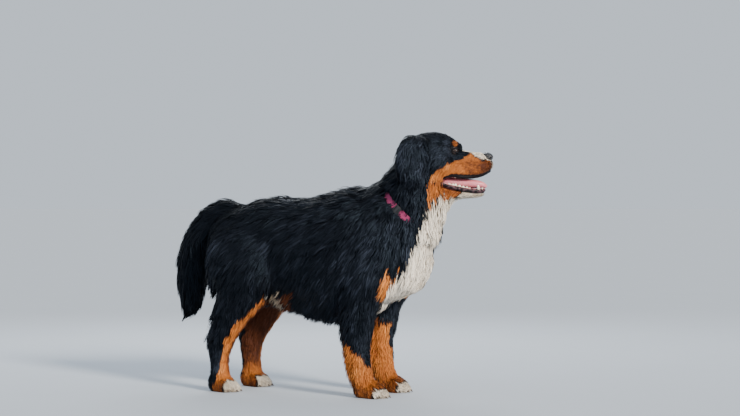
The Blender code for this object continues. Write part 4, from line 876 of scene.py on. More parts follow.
def skin_arrays(skin):
    """Corners, normals and unwrap of the skin's triangles."""
    mesh = skin.data
    mesh.calc_loop_triangles()
    points = np.empty(len(mesh.vertices) * 3)
    mesh.vertices.foreach_get("co", points)
    points = points.reshape(-1, 3)
    normals = np.empty(len(mesh.vertices) * 3)
    mesh.vertices.foreach_get("normal", normals)
    normals = normals.reshape(-1, 3)
    corners = np.empty(len(mesh.loop_triangles) * 3, int)
    mesh.loop_triangles.foreach_get("vertices", corners)
    loops = np.empty(len(mesh.loop_triangles) * 3, int)
    mesh.loop_triangles.foreach_get("loops", loops)
    places = np.empty(len(mesh.loops) * 2)
    mesh.uv_layers["OFBake"].data.foreach_get("uv", places)
    return points, normals, corners.reshape(-1, 3), places.reshape(-1, 2)[loops].reshape(-1, 3, 2)


def near_openings(points):
    """How far points lie from the lids and from the nose leather."""
    head = in_head(points)
    eyes = [np.array((EYE_AT.x, s * EYE_AT.y, EYE_AT.z)) for s in (-1, 1)]
    eye = np.minimum(*(np.linalg.norm(head - at, axis=1) for at in eyes)) - EYE_RADIUS
    nose = (np.linalg.norm((head - np.array(NOSE_AT)) / np.array(NOSE_SIZE), axis=1) - 1) * NOSE_SIZE[2]
    return eye, nose


def bare_share(points, normals, tree):
    """How much of the coat is left out: on lips and lids, in the mouth, round the nose, under the soles."""
    lip, mouth, _ = mouth_masks(points, normals, tree)
    eye, nose = near_openings(points)
    sole = (points[:, 2] < FLAT_LEVEL + 0.003).astype(float)
    return np.maximum.reduce([lip, mouth, soft(0.0030 - eye, 0.001), soft(0.0014 - nose, 0.001), sole])


def trimmed(points):
    """Share of its length that hair keeps near the lips, the lids and the nose."""
    eye, nose = near_openings(points)
    edge = np.minimum.reduce([lip_distance(points), eye - 0.003, nose])
    return np.clip(0.42 + edge / 0.022, 0.42, 1.0)


def picked_roots(skin, tree, rng):
    """Roots spread over the skin, closer where the coat is short, with their normals and unwrap places."""
    points, normals, corners, places = skin_arrays(skin)
    a, b, c = (points[corners[:, k]] for k in range(3))
    middle = (a + b + c) / 3
    face = np.cross(b - a, c - a)
    area = np.linalg.norm(face, axis=1) / 2
    _, trait = coat_at(middle)
    spacing = np.clip(SHORT_SPACING + (trait[:, 0] - 0.011) * 0.055, SHORT_SPACING, LONG_SPACING)
    wanted = area / spacing**2 * (1 - bare_share(middle, unit(face), tree))
    heaps = np.cumsum(wanted)
    marks = np.arange(int(heaps[-1])) + rng.random(int(heaps[-1]))
    chosen = np.minimum(np.searchsorted(heaps, marks), len(corners) - 1)
    u, v = rng.random(len(chosen)), rng.random(len(chosen))
    fold = u + v > 1
    u[fold], v[fold] = 1 - u[fold], 1 - v[fold]
    weights = np.stack([1 - u - v, u, v], axis=1)
    roots = np.einsum("nk,nkd->nd", weights, points[corners[chosen]])
    ups = unit(np.einsum("nk,nkd->nd", weights, normals[corners[chosen]]))
    return roots, ups, np.einsum("nk,nkd->nd", weights, places[chosen])


def clump_centres(roots, spacing, rng):
    """For every root, the index of the root that its clump gathers round."""
    cells = np.floor(roots / spacing + rng.random(3)).astype(int)
    _, centres = np.unique(cells, axis=0, return_index=True)
    tree = KDTree(len(centres))
    for i, place in enumerate(roots[centres].tolist()):
        tree.insert(place, i)
    tree.balance()
    return centres[[tree.find(place)[1] for place in roots.tolist()]]


def at_collar(points):
    """Points in the strap's frame, how far out in strap radii, if they cross it, and how far forward."""
    local = points @ np.array(COLLAR.to_3x3()) - np.array(COLLAR.to_3x3().inverted() @ COLLAR.translation)
    ring = np.hypot(local[..., 0] / COLLAR_LONG, local[..., 1] / COLLAR_WIDE)
    band = np.abs(local[..., 2]) < STRAP_WIDTH / 2 + 0.005
    forward = local[..., 0] / COLLAR_LONG / np.maximum(ring, 1e-6)
    return local, ring, band & (ring > 0.90) & (ring < 1.5), forward


def under_strap(spines, rng):
    """The spines, where they cross the strap pressed under it, or lifted over it at the throat and nape."""
    local, ring, crossing, forward = at_collar(spines)
    uneven = 0.08 * rng.normal(size=(len(spines), 1))
    hidden = (forward > STRAP_SHOWS[1] + uneven) | (forward < STRAP_SHOWS[0] + uneven)
    wanted = np.where(hidden, 1.07, 0.95)
    share = np.where(crossing, wanted / np.maximum(ring, 1e-6), 1.0)
    share = np.where(hidden & (ring > 1.07), 1.0, share)
    share = np.where(~hidden & (ring < 0.95), 1.0, share)
    moved = local.copy()
    moved[..., :2] *= share[..., None]
    back = moved @ np.array(COLLAR.to_3x3()).T + np.array(COLLAR.translation)
    return np.where(crossing[..., None], back, spines)


def grown(tree, roots, ups, rng):
    """The spine and normals of each tuft, which leaves the skin at its root and lies along the coat."""
    count = len(roots)
    lie, trait = coat_at(roots)
    length = trait[:, 0] * rng.uniform(0.72, 1.18, count) * trimmed(roots)
    lift = trait[:, 1] * rng.uniform(0.35, 1.10, count) ** 0.8
    freedom = trait[:, 2]
    stray = rng.random(count) < 0.03
    lift = np.where(stray, lift * 1.35, lift)
    sway = rng.normal(0, 0.11, (count, 1))
    place, normal = roots.copy(), ups.copy()
    spine, tops = [roots + ups * (TUFT_RISE[0] * lift)[:, None]], [ups]
    for k in range(1, len(STATIONS)):
        if k > 1:
            lie, _ = coat_at(place)
        step = ((STATIONS[k] - STATIONS[k - 1]) * length)[:, None]
        hug = 1 - freedom[:, None] * STATIONS[k]
        along = unit(lie - normal * dotted(lie, normal) * hug)
        along = unit(along + np.cross(normal, along) * sway)
        place = place + along * step
        near, under = nearest_on(tree, place)
        height = dotted(place - near, under)[:, 0]
        wanted = TUFT_RISE[k] * lift
        most = wanted * (1 + 0.25 * STATIONS[k]) + freedom * length * STATIONS[k] * 0.8
        height = np.clip(np.maximum(height, wanted), wanted, most)
        place = near + under * height[:, None]
        normal = unit(normal * 0.35 + under)
        spine.append(place)
        tops.append(normal)
    return np.stack(spine, axis=1), np.stack(tops, axis=1), length, trait


def combed(spines, tops, roots, length, trait, rng):
    """The spines drawn together into locks, large and small, and swung in waves."""
    for spacing, pull in CLUMPS:
        centres = clump_centres(roots, spacing, rng)
        share = pull * np.clip((length - 0.008) / 0.045, 0, 1)[:, None] * STATIONS[None] ** 1.4
        share = share * rng.uniform(0.6, 1.25, (len(roots), 1))
        spines = spines + (spines[centres] - spines) * np.clip(share, 0, 0.95)[..., None]
    centres = clump_centres(roots, 0.022, rng)
    phase = rng.uniform(0, 2 * math.pi, len(roots))[centres] + rng.normal(0, 0.5, len(roots))
    turns = (STATIONS[None] * length[:, None]) * (2 * math.pi / WAVE_LENGTH) + phase[:, None]
    run = unit(np.gradient(spines, axis=1))
    side = unit(np.cross(tops, run))
    swing = np.sin(turns) * trait[:, 3:4] * STATIONS[None] ** 0.8
    return spines + side * swing[..., None] + tops * (swing * 0.45)[..., None]


def tuft_arrays(spines, tops, length, rng):
    """The points of every tuft: left edge, ridge and right edge at each station, and one point at its tip."""
    run = unit(np.gradient(spines, axis=1))
    side = unit(np.cross(tops, run))
    up = unit(np.cross(run, side))
    twist = rng.normal(0, 0.40, (len(spines), 1, 1))
    side, up = side * np.cos(twist) + up * np.sin(twist), up * np.cos(twist) - side * np.sin(twist)
    half = (TUFT_SPREAD[0] + TUFT_SPREAD[1] * length) * 0.5 * rng.uniform(0.75, 1.25, len(length))
    half = (half[:, None] * TUFT_WIDTH[None])[..., None]
    rows = np.stack([spines - side * half, spines + up * (half * RIDGE), spines + side * half], axis=2)
    body = rows[:, :-1].reshape(len(spines), -1, 3)
    return np.concatenate([body, spines[:, -1:]], axis=1)


def mesh_of(name, points, quads, triangles):
    """A mesh from arrays of points, four-cornered and three-cornered faces."""
    mesh = bpy.data.meshes.new(name)
    mesh.vertices.add(len(points))
    mesh.vertices.foreach_set("co", points.astype(np.float32).ravel())
    corners = np.concatenate([quads.ravel(), triangles.ravel()]).astype(np.int32)
    mesh.loops.add(len(corners))
    mesh.loops.foreach_set("vertex_index", corners)
    starts = np.concatenate([np.arange(len(quads)) * 4, len(quads) * 4 + np.arange(len(triangles)) * 3])
    mesh.polygons.add(len(starts))
    mesh.polygons.foreach_set("loop_start", starts.astype(np.int32))
    mesh.update(calc_edges=True)
    mesh.shade_smooth()
    return mesh


def set_attribute(mesh, name, values):
    """A number at every point of a mesh."""
    attribute = mesh.attributes.new(name, "FLOAT", "POINT")
    attribute.data.foreach_set("value", np.asarray(values, np.float32).ravel())


def tuft_faces(count, rows):
    """The faces of a number of tufts, four-cornered along their rows and three-cornered at the tip."""
    per = rows * 3 + 1
    quads = []
    for k in range(rows - 1):
        for c in range(2):
            low, high = k * 3 + c, (k + 1) * 3 + c
            quads.append((low, low + 1, high + 1, high))
    last = (rows - 1) * 3
    tips = [(last, last + 1, per - 1), (last + 1, last + 2, per - 1)]
    base = (np.arange(count) * per)[:, None, None]
    return (base + np.array(quads)[None]).reshape(-1, 4), (base + np.array(tips)[None]).reshape(-1, 3)


def coat_piece(name, tufts, lengths, kinds, places):
    """One mesh of tufts with their markings, shares along and across, and places on the skin's unwrap."""
    flat, quads, tips, columns, patches, made = [], [], [], [], [], 0
    short = lengths < SHORT_TUFT
    for stations, mine in ((SHORT_STATIONS, short), (range(len(STATIONS)), ~short)):
        count = int(mine.sum())
        rows = len(stations) - 1
        kept = [3 * k + c for k in stations[:-1] for c in range(3)] + [3 * (len(STATIONS) - 1)]
        fours, threes = tuft_faces(count, rows)
        flat.append(tufts[mine][:, kept].reshape(-1, 3))
        quads.append(fours + made)
        tips.append(threes + made)
        made += count * (3 * rows + 1)
        along = np.append(np.repeat(STATIONS[list(stations[:-1])], 3), 1.0)
        across = np.append(np.tile((0.0, 0.5, 1.0), rows), 0.5)
        same = [np.repeat(value[mine], 3 * rows + 1) for value in kinds.values()]
        columns.append(np.array(same + [np.tile(along, count), np.tile(across, count)]))
        spot = places[mine][:, None, :] + PATCH * (np.stack([across, along], axis=1)[None] - 0.5)
        patches.append(spot.reshape(-1, 2))
    mesh = mesh_of(name, np.concatenate(flat), np.concatenate(quads), np.concatenate(tips))
    for key, values in zip([*kinds, "along", "across"], np.concatenate(columns, axis=1)):
        set_attribute(mesh, key, values)
    layer = mesh.uv_layers.new(name="OFBake")
    corners = np.empty(len(mesh.loops), int)
    mesh.loops.foreach_get("vertex_index", corners)
    layer.data.foreach_set("uv", np.concatenate(patches)[corners].astype(np.float32).ravel())
    obj = bpy.data.objects.new(name, mesh)
    bpy.context.scene.collection.objects.link(obj)
    return obj


# Middles of the pieces that the coat of the body is parted into, on the right side
COAT_AREAS = {
    "rump": (-0.30, -0.10, 0.52),
    "loin": (-0.14, -0.12, 0.54),
    "flank": (-0.05, -0.12, 0.42),
    "ribs": (0.07, -0.12, 0.52),
    "shoulder": (0.20, -0.13, 0.56),
    "brisket": (0.24, -0.10, 0.38),
    "neck": (0.30, -0.09, 0.68),
    "throat": (0.39, -0.05, 0.60),
    "foreleg": (0.20, -0.10, 0.15),
    "hindleg": (-0.28, -0.10, 0.22),
    "thigh": (-0.26, -0.13, 0.38),
}


def area_names(roots):
    """The name of the coat piece that each root belongs to."""
    head = in_head(roots)
    names = np.full(len(roots), "", dtype=object)
    right = roots * np.array([1, 0, 1]) - np.array([0, 1, 0]) * np.abs(roots[:, 1:2])
    away = np.stack([np.linalg.norm(right - np.array(m), axis=1) for m in COAT_AREAS.values()])
    near = np.array(list(COAT_AREAS), dtype=object)[away.argmin(axis=0)]
    side = np.where(roots[:, 1] > 0, "_left", "_right")
    names[:] = near + side
    names[(roots[:, 0] < -0.37) & (roots[:, 2] > 0.26) & (np.abs(roots[:, 1]) < 0.05)] = "tail"
    on_head = (head[:, 0] > -0.09) & (head[:, 2] > -0.17)
    names[on_head] = np.where(head[:, 1] > 0, "head_left", "head_right")[on_head]
    on_ear = (np.abs(head[:, 1]) > 0.062) & (head[:, 0] < -0.088) & (head[:, 2] > -0.13)
    names[on_ear] = np.where(head[:, 1] > 0, "ear_left", "ear_right")[on_ear]
    return names


def make_coat(skin, tree):
    """All the pieces of the coat."""
    rng = np.random.default_rng(SEED)
    roots, ups, places = picked_roots(skin, tree, rng)
    spines, tops, length, trait = grown(tree, roots, ups, rng)
    spines = combed(spines, tops, roots, length, trait, rng)
    spines = under_strap(spines, rng)
    spines[..., 2] = np.maximum(spines[..., 2], FLAT_LEVEL + 0.0008)
    over_mouth = in_gap(spines.reshape(-1, 3)).reshape(len(spines), -1).any(axis=1)
    clear = ~over_mouth & (lip_distance(spines[:, 4]) > -0.0045)
    roots, places, spines, tops, length = (values[clear] for values in (roots, places, spines, tops, length))
    tufts = tuft_arrays(spines, tops, length, rng)
    rust, white = markings(spines[:, 3])
    # Each tuft's tint: random tone by lock and by tuft, softer on rust and white, plus the painted sheen and
    # painted shade of shading(). On black hair the brighter tints become a painted sheen
    locks = clump_centres(roots, 0.017, rng)
    uneven = rng.normal(0, 0.13, len(roots))[locks] + 0.13 * ripple(roots, 0.045, SEED + 20)
    shade = rng.normal(0.5, 0.11, len(roots)) + uneven * (1 - 0.55 * np.maximum(rust, white)) + shading(roots)
    kinds = {"rust": rust, "white": white, "tint": np.clip(shade, 0, 1), "strand": rng.random(len(roots))}
    names = area_names(roots)
    pieces = []
    for name in sorted(set(names)):
        mine = names == name
        mine_kinds = {key: value[mine] for key, value in kinds.items()}
        pieces.append(coat_piece("coat_" + name, tufts[mine], length[mine], mine_kinds, places[mine]))
    return pieces


# Eyes, nose, tongue, teeth and claws

def make_eye(name, s):
    """An eyeball turned to where the eye looks, with the cornea's bulge in front of the iris."""
    out = Vector((EYE_LOOKS.x, s * EYE_LOOKS.y, 0.0)).normalized()
    turn = out.to_track_quat("Z", "Y").to_matrix().to_4x4()
    place = HEAD @ Matrix.Translation((EYE_AT.x, s * EYE_AT.y, EYE_AT.z)) @ turn
    eye = ball(name, (0, 0, 0), [EYE_RADIUS] * 3, Matrix.Identity(4), segments=48)
    looks = []
    for vertex in eye.data.vertices:
        ahead = vertex.co.z / EYE_RADIUS
        off = math.hypot(vertex.co.x, vertex.co.y) / EYE_RADIUS
        looks.append(off if ahead > 0 else 1.5)
        if ahead > 0 and off < CORNEA:
            vertex.co *= 1 + CORNEA_BULGE * (1 - (off / CORNEA) ** 2)
    set_attribute(eye.data, "off_axis", looks)
    eye.data.transform(place)
    eye.data.shade_smooth()
    return eye


CORNEA, CORNEA_BULGE = 0.66, 0.035


def make_nose():
    """The leather of the nose: a broad pad with two wings, nostrils that open to the side, and a groove."""

    def egg(centre, radii, turn=0.0):
        place = HEAD @ Matrix.Translation(centre) @ Matrix.Rotation(turn, 4, "Z")
        return ball("nose_form", (0, 0, 0), radii, place, segments=40)

    forms = [
        egg((0.1035, 0, -0.0185), (0.0180, 0.0190, 0.0125)),
        egg((0.1120, 0, -0.0215), (0.0120, 0.0120, 0.0125)),
        egg((0.1120, 0, -0.0290), (0.0070, 0.0060, 0.0080)),
    ]
    forms += [egg((0.1075, s * 0.0130, -0.0215), (0.0130, 0.0082, 0.0108)) for s in (-1, 1)]
    nose = remeshed(joined("nose_leather", forms), 0.0010, 4)
    for s in (-1, 1):
        cut(nose, egg((0.1210, s * 0.0086, -0.0205), (0.0080, 0.0036, 0.0042), s * 0.25))
        cut(nose, egg((0.1150, s * 0.0165, -0.0240), (0.0090, 0.0030, 0.0017), s * 0.85))
    cut(nose, egg((0.1235, 0, -0.0270), (0.0042, 0.0008, 0.0110)))
    nose.data.shade_smooth()
    return nose


def tongue_rings():
    """The tongue lies in the lower jaw, arched over the teeth, and reaches just past them."""
    return [
        Ring(-0.055, 0, -0.1020, 0.0100, 0.020),
        Ring(-0.020, 0, -0.1040, 0.0140, 0.024),
        Ring(0.020, 0, -0.1065, 0.0155, 0.025),
        Ring(0.055, 0, -0.1085, 0.0150, 0.025),
        Ring(0.085, 0, -0.111, 0.0115, 0.021),
        Ring(0.101, 0, -0.117, 0.0060, 0.013),
    ]


def make_tongue():
    """The tongue, with a groove down its middle."""
    points, faces = loft_shape(tongue_rings(), sides=40, steps=8)
    made = []
    for p in points:
        top = max(0.0, min(1.0, (p.z + 0.108) / 0.010))
        p.z -= 0.0040 * math.exp(-((p.y / 0.0050) ** 2)) * top
        made.append(HEAD @ p)
    tongue = new_object("tongue_flesh", made, faces)
    tongue.data.shade_smooth()
    return tongue


# Cheek teeth as heights of their ridge along the jaw, cusp by cusp, in millimetres
CHEEK_TEETH = (
    (-28, 1.5), (-25, 4.5), (-22, 2.5), (-20, 4.0), (-18, 1.5), (-16, 3.5), (-12, 7.0), (-8, 4.5), (-4, 9.5),
    (0, 5.0), (2, 1.5), (4, 2.5), (9, 7.5), (13, 3.5), (15, 1.5), (17, 2.5), (21, 6.5), (25, 3.0), (27, 1.5),
    (29, 2.0), (33, 5.0), (37, 2.0), (39, 1.0), (43, 2.8), (46, 1.0),
)


def on_line(line, u):
    """The side and height of a lip line at one place along the head."""
    rows = np.array(line)
    return abs(np.interp(u, rows[:, 0], rows[:, 1])), np.interp(u, rows[:, 0], rows[:, 2])


def make_teeth():
    """Canines and a ridge of cheek teeth in each jaw, and incisors in the lower jaw, the upper ones half
    behind the lips.
    """
    shapes = []
    across = HEAD.to_3x3() @ Vector((1, 0, 0))

    def tooth(u, v, w, tall, long_, wide, lean=0.0, upper=False):
        rows = []
        for share, girth in ((0.0, 1.0), (0.35, 1.02), (0.7, 0.66), (0.92, 0.28), (1.0, 0.06)):
            rise = share * tall * (-1 if upper else 1)
            rows.append(Ring(u + lean * share**2, v, w + rise, wide * girth, long_ * girth))
        shapes.append(loft("tooth", rows, HEAD, sides=14, steps=2, across=across))

    def ridge(s, line, inward, drop, height):
        rings = []
        for along, tall in CHEEK_TEETH:
            u = along / 1000 + 0.006
            side, level = on_line(line, u)
            thick = 0.0016 + tall * 0.00013
            rings.append(Ring(u, s * (side - inward), level + drop, tall * height / 1000, thick))
        shapes.append(loft("cheek_teeth", rings, HEAD, sides=10, steps=2))

    for s in (-1, 1):
        tooth(0.0770, s * 0.0195, -0.128, 0.0230, 0.0046, 0.0038, -0.003)
        tooth(0.0880, s * 0.0175, -0.064, 0.0190, 0.0046, 0.0038, 0.001, upper=True)
        ridge(s, LOWER_LIP, 0.0085, 0.0065, 1.0)
        ridge(s, UPPER_LIP, 0.0100, 0.0020, 0.9)
        for i in range(3):
            tooth(0.0915 - 0.0014 * i, s * (0.0026 + 0.0048 * i), -0.1290, 0.0085, 0.0020, 0.0022)
    teeth = joined("teeth", shapes)
    teeth.data.shade_smooth()
    return teeth


def make_gums():
    """The gums along both jaws, in which the teeth stand."""
    shapes = []
    for s in (-1, 1):
        for line, inward, drop in ((LOWER_LIP, 0.0085, 0.0010), (UPPER_LIP, 0.0100, 0.0070)):
            rings = []
            for u in (-0.040, -0.020, 0.010, 0.045, 0.072, 0.090, 0.096):
                side, level = on_line(line, u)
                rings.append(Ring(u, s * max(side - inward, 0.001), level + drop, 0.0062, 0.0042))
            shapes.append(loft("gum", rings, HEAD, sides=14, steps=6))
    gums = joined("gums", shapes)
    gums.data.shade_smooth()
    return gums


def make_claws():
    """Four short claws on every paw, curved down to the floor."""
    shapes = []
    for (x, y), _ in PAWS.values():
        for share in TOES:
            turn, reach = toe_place(x, y, share)
            side = share * TOE_SPREAD * 1.04
            rings = [
                Ring(reach + 0.008, side, 0.0160, 0.0036, 0.0030),
                Ring(reach + 0.013, side, 0.0152, 0.0033, 0.0027),
                Ring(reach + 0.0165, side, 0.0130, 0.0023, 0.0021),
                Ring(reach + 0.0190, side, 0.0108, 0.0010, 0.0010),
            ]
            points, faces = loft_shape(rings, sides=14, steps=4)
            shapes.append(new_object("claw", [turn @ p for p in points], faces))
    claws = joined("claws", shapes)
    claws.data.shade_smooth()
    return claws


# The collar

def band(name, start, end, steps, rows, closed):
    """A strip of mesh round the neck: rows are (height off the strap's bed, place across its width)."""
    count = steps if closed else steps + 1
    points, faces = [], []
    for k in range(count):
        a = math.radians(start + (end - start) * k / steps)
        centre = Vector((math.cos(a) * COLLAR_LONG, math.sin(a) * COLLAR_WIDE, 0))
        outward = Vector((math.cos(a) / COLLAR_LONG, math.sin(a) / COLLAR_WIDE, 0)).normalized()
        for height, across in rows:
            points.append(COLLAR @ (centre + outward * height + Vector((0, 0, across))))
    wide = len(rows)
    for k in range(steps):
        n = (k + 1) % count
        for c in range(wide):
            d = (c + 1) % wide
            faces.append((k * wide + c, k * wide + d, n * wide + d, n * wide + c))
    if not closed:
        faces += [tuple(reversed(range(wide))), tuple(steps * wide + c for c in range(wide))]
    return new_object(name, points, faces)


def unrolled(obj):
    """A map of the band: metres round the neck and metres across the strap."""
    layer = obj.data.uv_layers.new(name="webbing")
    to_band = COLLAR.inverted()
    mean = (COLLAR_LONG + COLLAR_WIDE) / 2
    for face in obj.data.polygons:
        angles = []
        for loop in face.loop_indices:
            p = to_band @ obj.data.vertices[obj.data.loops[loop].vertex_index].co
            angles.append(math.atan2(p.y / COLLAR_WIDE, p.x / COLLAR_LONG))
        if max(angles) - min(angles) > math.pi:
            angles = [a + 2 * math.pi if a < 0 else a for a in angles]
        for loop, a in zip(face.loop_indices, angles):
            p = to_band @ obj.data.vertices[obj.data.loops[loop].vertex_index].co
            layer.data[loop].uv = (a * mean, p.z)


def make_strap():
    """The webbing of the collar, with rounded thicker edges."""
    half, low, high = STRAP_WIDTH / 2, 0.0003, STRAP_THICKNESS - 0.0002
    rows = [(low, -half + 0.0012), (low, half - 0.0012), (low + 0.0008, half), (high - 0.0004, half)]
    rows += [(high + 0.0002, half - 0.0012), (high - 0.0002, half - 0.0030), (high, 0.0)]
    rows += [(high - 0.0002, -half + 0.0030), (high + 0.0002, -half + 0.0012)]
    rows += [(high - 0.0004, -half), (low + 0.0008, -half)]
    strap = band("collar_webbing", 0, 360, 220, rows, True)
    unrolled(strap)
    strap.data.shade_smooth()
    return strap


def make_buckle():
    """The side-release buckle: a body with its two prongs' windows, the socket, and a bar at each end."""
    low, high = STRAP_THICKNESS + 0.0004, STRAP_THICKNESS + BUCKLE_THICKNESS - 0.0006
    half = STRAP_WIDTH / 2 + 0.0014
    start, end = BUCKLE_ARC
    middle = (start + end) / 2

    def block(a, b, bottom, top, inner, outer):
        rows = [(bottom, inner), (bottom, outer), (top - 0.0008, outer), (top, outer - 0.0008)]
        rows += [(top, inner + 0.0008), (top - 0.0008, inner)]
        return band("block", a, b, 8, rows, False)

    shapes = [
        block(start + 3.2, middle + 2.0, low, high, -half, half),
        block(middle + 2.4, end - 2.0, low + 0.0004, high - 0.0014, -half + 0.001, half - 0.001),
        block(start + 0.4, start + 2.0, low, high - 0.001, -half, half),
        block(end - 1.4, end - 0.4, low, high - 0.001, -half, half),
    ]
    for s in (-1, 1):
        inner, outer = sorted((s * (half - 0.0035), s * half))
        shapes.append(block(start + 0.4, start + 3.6, low, high - 0.001, inner, outer))
        shapes.append(block(end - 2.4, end - 0.4, low, high - 0.001, inner, outer))
        prong = sorted((s * (half - 0.0042), s * (half + 0.0006)))
        shapes.append(block(middle - 1.6, middle + 3.0, low + 0.001, high - 0.0008, *prong))
    buckle = joined("buckle_body", shapes)
    bevel = buckle.modifiers.new("soft_edges", "BEVEL")
    bevel.width = 0.00035
    bevel.segments = 2
    bevel.limit_method = "ANGLE"
    applied(buckle)
    buckle.data.shade_smooth()
    return buckle


# Materials

class Signal:
    """A socket's value, which shader maths can be written with."""

    def __init__(self, material, socket):
        self.material = material
        self.socket = socket

    def maths(self, operation, first, second):
        return self.material.node("ShaderNodeMath", {"operation": operation}, {0: first, 1: second})

    def __add__(self, other):
        return self.maths("ADD", self, other)

    def __radd__(self, other):
        return self.maths("ADD", other, self)

    def __sub__(self, other):
        return self.maths("SUBTRACT", self, other)

    def __rsub__(self, other):
        return self.maths("SUBTRACT", other, self)

    def __mul__(self, other):
        return self.maths("MULTIPLY", self, other)

    def __rmul__(self, other):
        return self.maths("MULTIPLY", other, self)

    def __truediv__(self, other):
        return self.maths("DIVIDE", self, other)

    def __pow__(self, other):
        return self.maths("POWER", self, other)


class Material:
    """A Principled material: values that are the same all over go on its sockets, and signals are linked."""

    def __init__(self, name, **sockets):
        self.data = bpy.data.materials.new(name)
        self.data.use_nodes = True
        self.tree = self.data.node_tree
        self.shader = self.tree.nodes["Principled BSDF"]
        self.set(**sockets)

    def put(self, socket, value):
        if isinstance(value, Signal):
            self.tree.links.new(value.socket, socket)
        elif isinstance(value, tuple) and len(value) == 3 and socket.type == "RGBA":
            socket.default_value = (*value, 1.0)
        else:
            socket.default_value = value

    def set(self, **sockets):
        """Values or signals for the shader's sockets, named in lower case with _ for a space."""
        for key, value in sockets.items():
            self.put(self.shader.inputs[key.replace("_", " ").title().replace("Ior", "IOR")], value)
        return self

    def node(self, kind, settings=None, inputs=None, output=0):
        """Any other node: its settings first, then its sockets by name or number."""
        made = self.tree.nodes.new(kind)
        for key, value in (settings or {}).items():
            if key == "stops":
                self.stops(made.color_ramp, value)
            else:
                setattr(made, key, value)
        for key, value in (inputs or {}).items():
            self.put(made.inputs[key], value)
        return Signal(self, made.outputs[output])

    def stops(self, ramp, stops):
        while len(ramp.elements) < len(stops):
            ramp.elements.new(0.5)
        for element, (place, colour) in zip(ramp.elements, stops):
            element.position = place
            element.color = (*colour, 1.0) if isinstance(colour, tuple) else (colour, colour, colour, 1.0)

    def attribute(self, name):
        return self.node("ShaderNodeAttribute", {"attribute_name": name}, output="Fac")

    def mix(self, first, second, share):
        """One colour turning into another."""
        return self.node("ShaderNodeMix", {"data_type": "RGBA"}, {0: share, 6: first, 7: second}, output=2)

    def blend(self, kind, first, second, share=1.0):
        settings = {"data_type": "RGBA", "blend_type": kind}
        return self.node("ShaderNodeMix", settings, {0: share, 6: first, 7: second}, output=2)

    def ramp(self, value, stops):
        return self.node("ShaderNodeValToRGB", {"stops": stops}, {0: value})

    def noise(self, scale, detail=2.0, where=None, roughness=0.5):
        inputs = {"Scale": scale, "Detail": detail, "Roughness": roughness}
        inputs["Vector"] = where or self.where()
        return self.node("ShaderNodeTexNoise", None, inputs)

    def where(self):
        """The point of the object being shaded, in metres."""
        return self.node("ShaderNodeTexCoord", output="Object")

    def bump(self, height, distance, strength=1.0):
        inputs = {"Height": height, "Distance": distance, "Strength": strength}
        self.set(normal=self.node("ShaderNodeBump", None, inputs))


# BLACK_SHEEN is a painted bluish sheen and the gold a painted golden highlight. RUST_DEEP and WHITE_DULL
# serve both random deeper tone and painted shade
BLACK_ROOT, BLACK_TIP, BLACK_SHEEN = (0.0018, 0.0020, 0.0028), (0.0042, 0.0048, 0.0070), (0.030, 0.036, 0.052)
RUST_ROOT, RUST_TIP, RUST_DEEP = (0.29, 0.070, 0.012), (0.71, 0.210, 0.034), (0.070, 0.020, 0.008)
PAINTED_GOLD_HIGHLIGHT = (0.80, 0.36, 0.10)
WHITE_ROOT, WHITE_TIP, WHITE_DULL = (0.70, 0.60, 0.47), (0.92, 0.85, 0.73), (0.34, 0.26, 0.18)


def coat_colour(m, along):
    """The coat's colour from its markings, its roots and tips, and the tint of each tuft. The tint carries
    random tone together with the painted sheen and painted shade of shading(): the brightest black tufts turn
    toward a painted bluish sheen, the brightest rust tips toward a painted golden highlight, and the deepest
    rust and white tufts toward deep rust and dull white.
    """
    rust, white, tint = m.attribute("rust"), m.attribute("white"), m.attribute("tint")
    black = m.mix(BLACK_ROOT, BLACK_TIP, along)
    # Painted sheen: the brightest black tufts turn toward a bluish reflection of the sky
    black = m.mix(black, BLACK_SHEEN, tint**4.0 * 0.8)
    # Painted highlight: the brightest rust tips turn golden
    brown = m.mix(m.mix(RUST_ROOT, RUST_TIP, along), PAINTED_GOLD_HIGHLIGHT, tint**3.0 * along * 0.8)
    # Deeper tufts, by random tone and by painted shade, turn toward deep rust and dull white
    brown = m.mix(brown, RUST_DEEP, (1 - tint) ** 2.0 * 0.95)
    pale = m.mix(WHITE_ROOT, WHITE_TIP, along)
    pale = m.mix(pale, WHITE_DULL, (1 - tint) ** 4.0 * 0.95)
    edge = (tint - 0.5) * 0.8
    rust_share = m.ramp(rust + edge * rust * (1 - rust) * 4, ((0.38, 0.0), (0.62, 1.0)))
    white_share = m.ramp(white + edge * white * (1 - white) * 4, ((0.40, 0.0), (0.60, 1.0)))
    return m.mix(m.mix(black, brown, rust_share), pale, white_share), rust_share, white_share


def coat_material():
    """Hair in tufts, each streaked with single hairs: glossy on the black, softer on the rust and white."""
    m = Material("coat_hair", specular_ior_level=0.12, specular_tint=(0.50, 0.74, 1.0))
    along, across = m.attribute("along"), m.attribute("across")
    colour, rust, white = coat_colour(m, along)
    inputs = {"X": across * 7.0, "Y": along * 1.6, "Z": m.attribute("strand") * 60.0}
    place = m.node("ShaderNodeCombineXYZ", None, inputs)
    hairs = m.noise(1.0, 2.0, place, 0.6)
    dark = m.ramp(hairs, ((0.32, 0.45), (0.68, 1.45)))
    m.set(base_color=m.blend("MULTIPLY", colour, dark))
    m.set(roughness=m.ramp(white * 0.6 + rust * 0.4 + (hairs - 0.5) * 0.3, ((0.0, 0.40), (1.0, 0.62))))
    m.bump(hairs, 0.0012, 0.6)
    return m.data


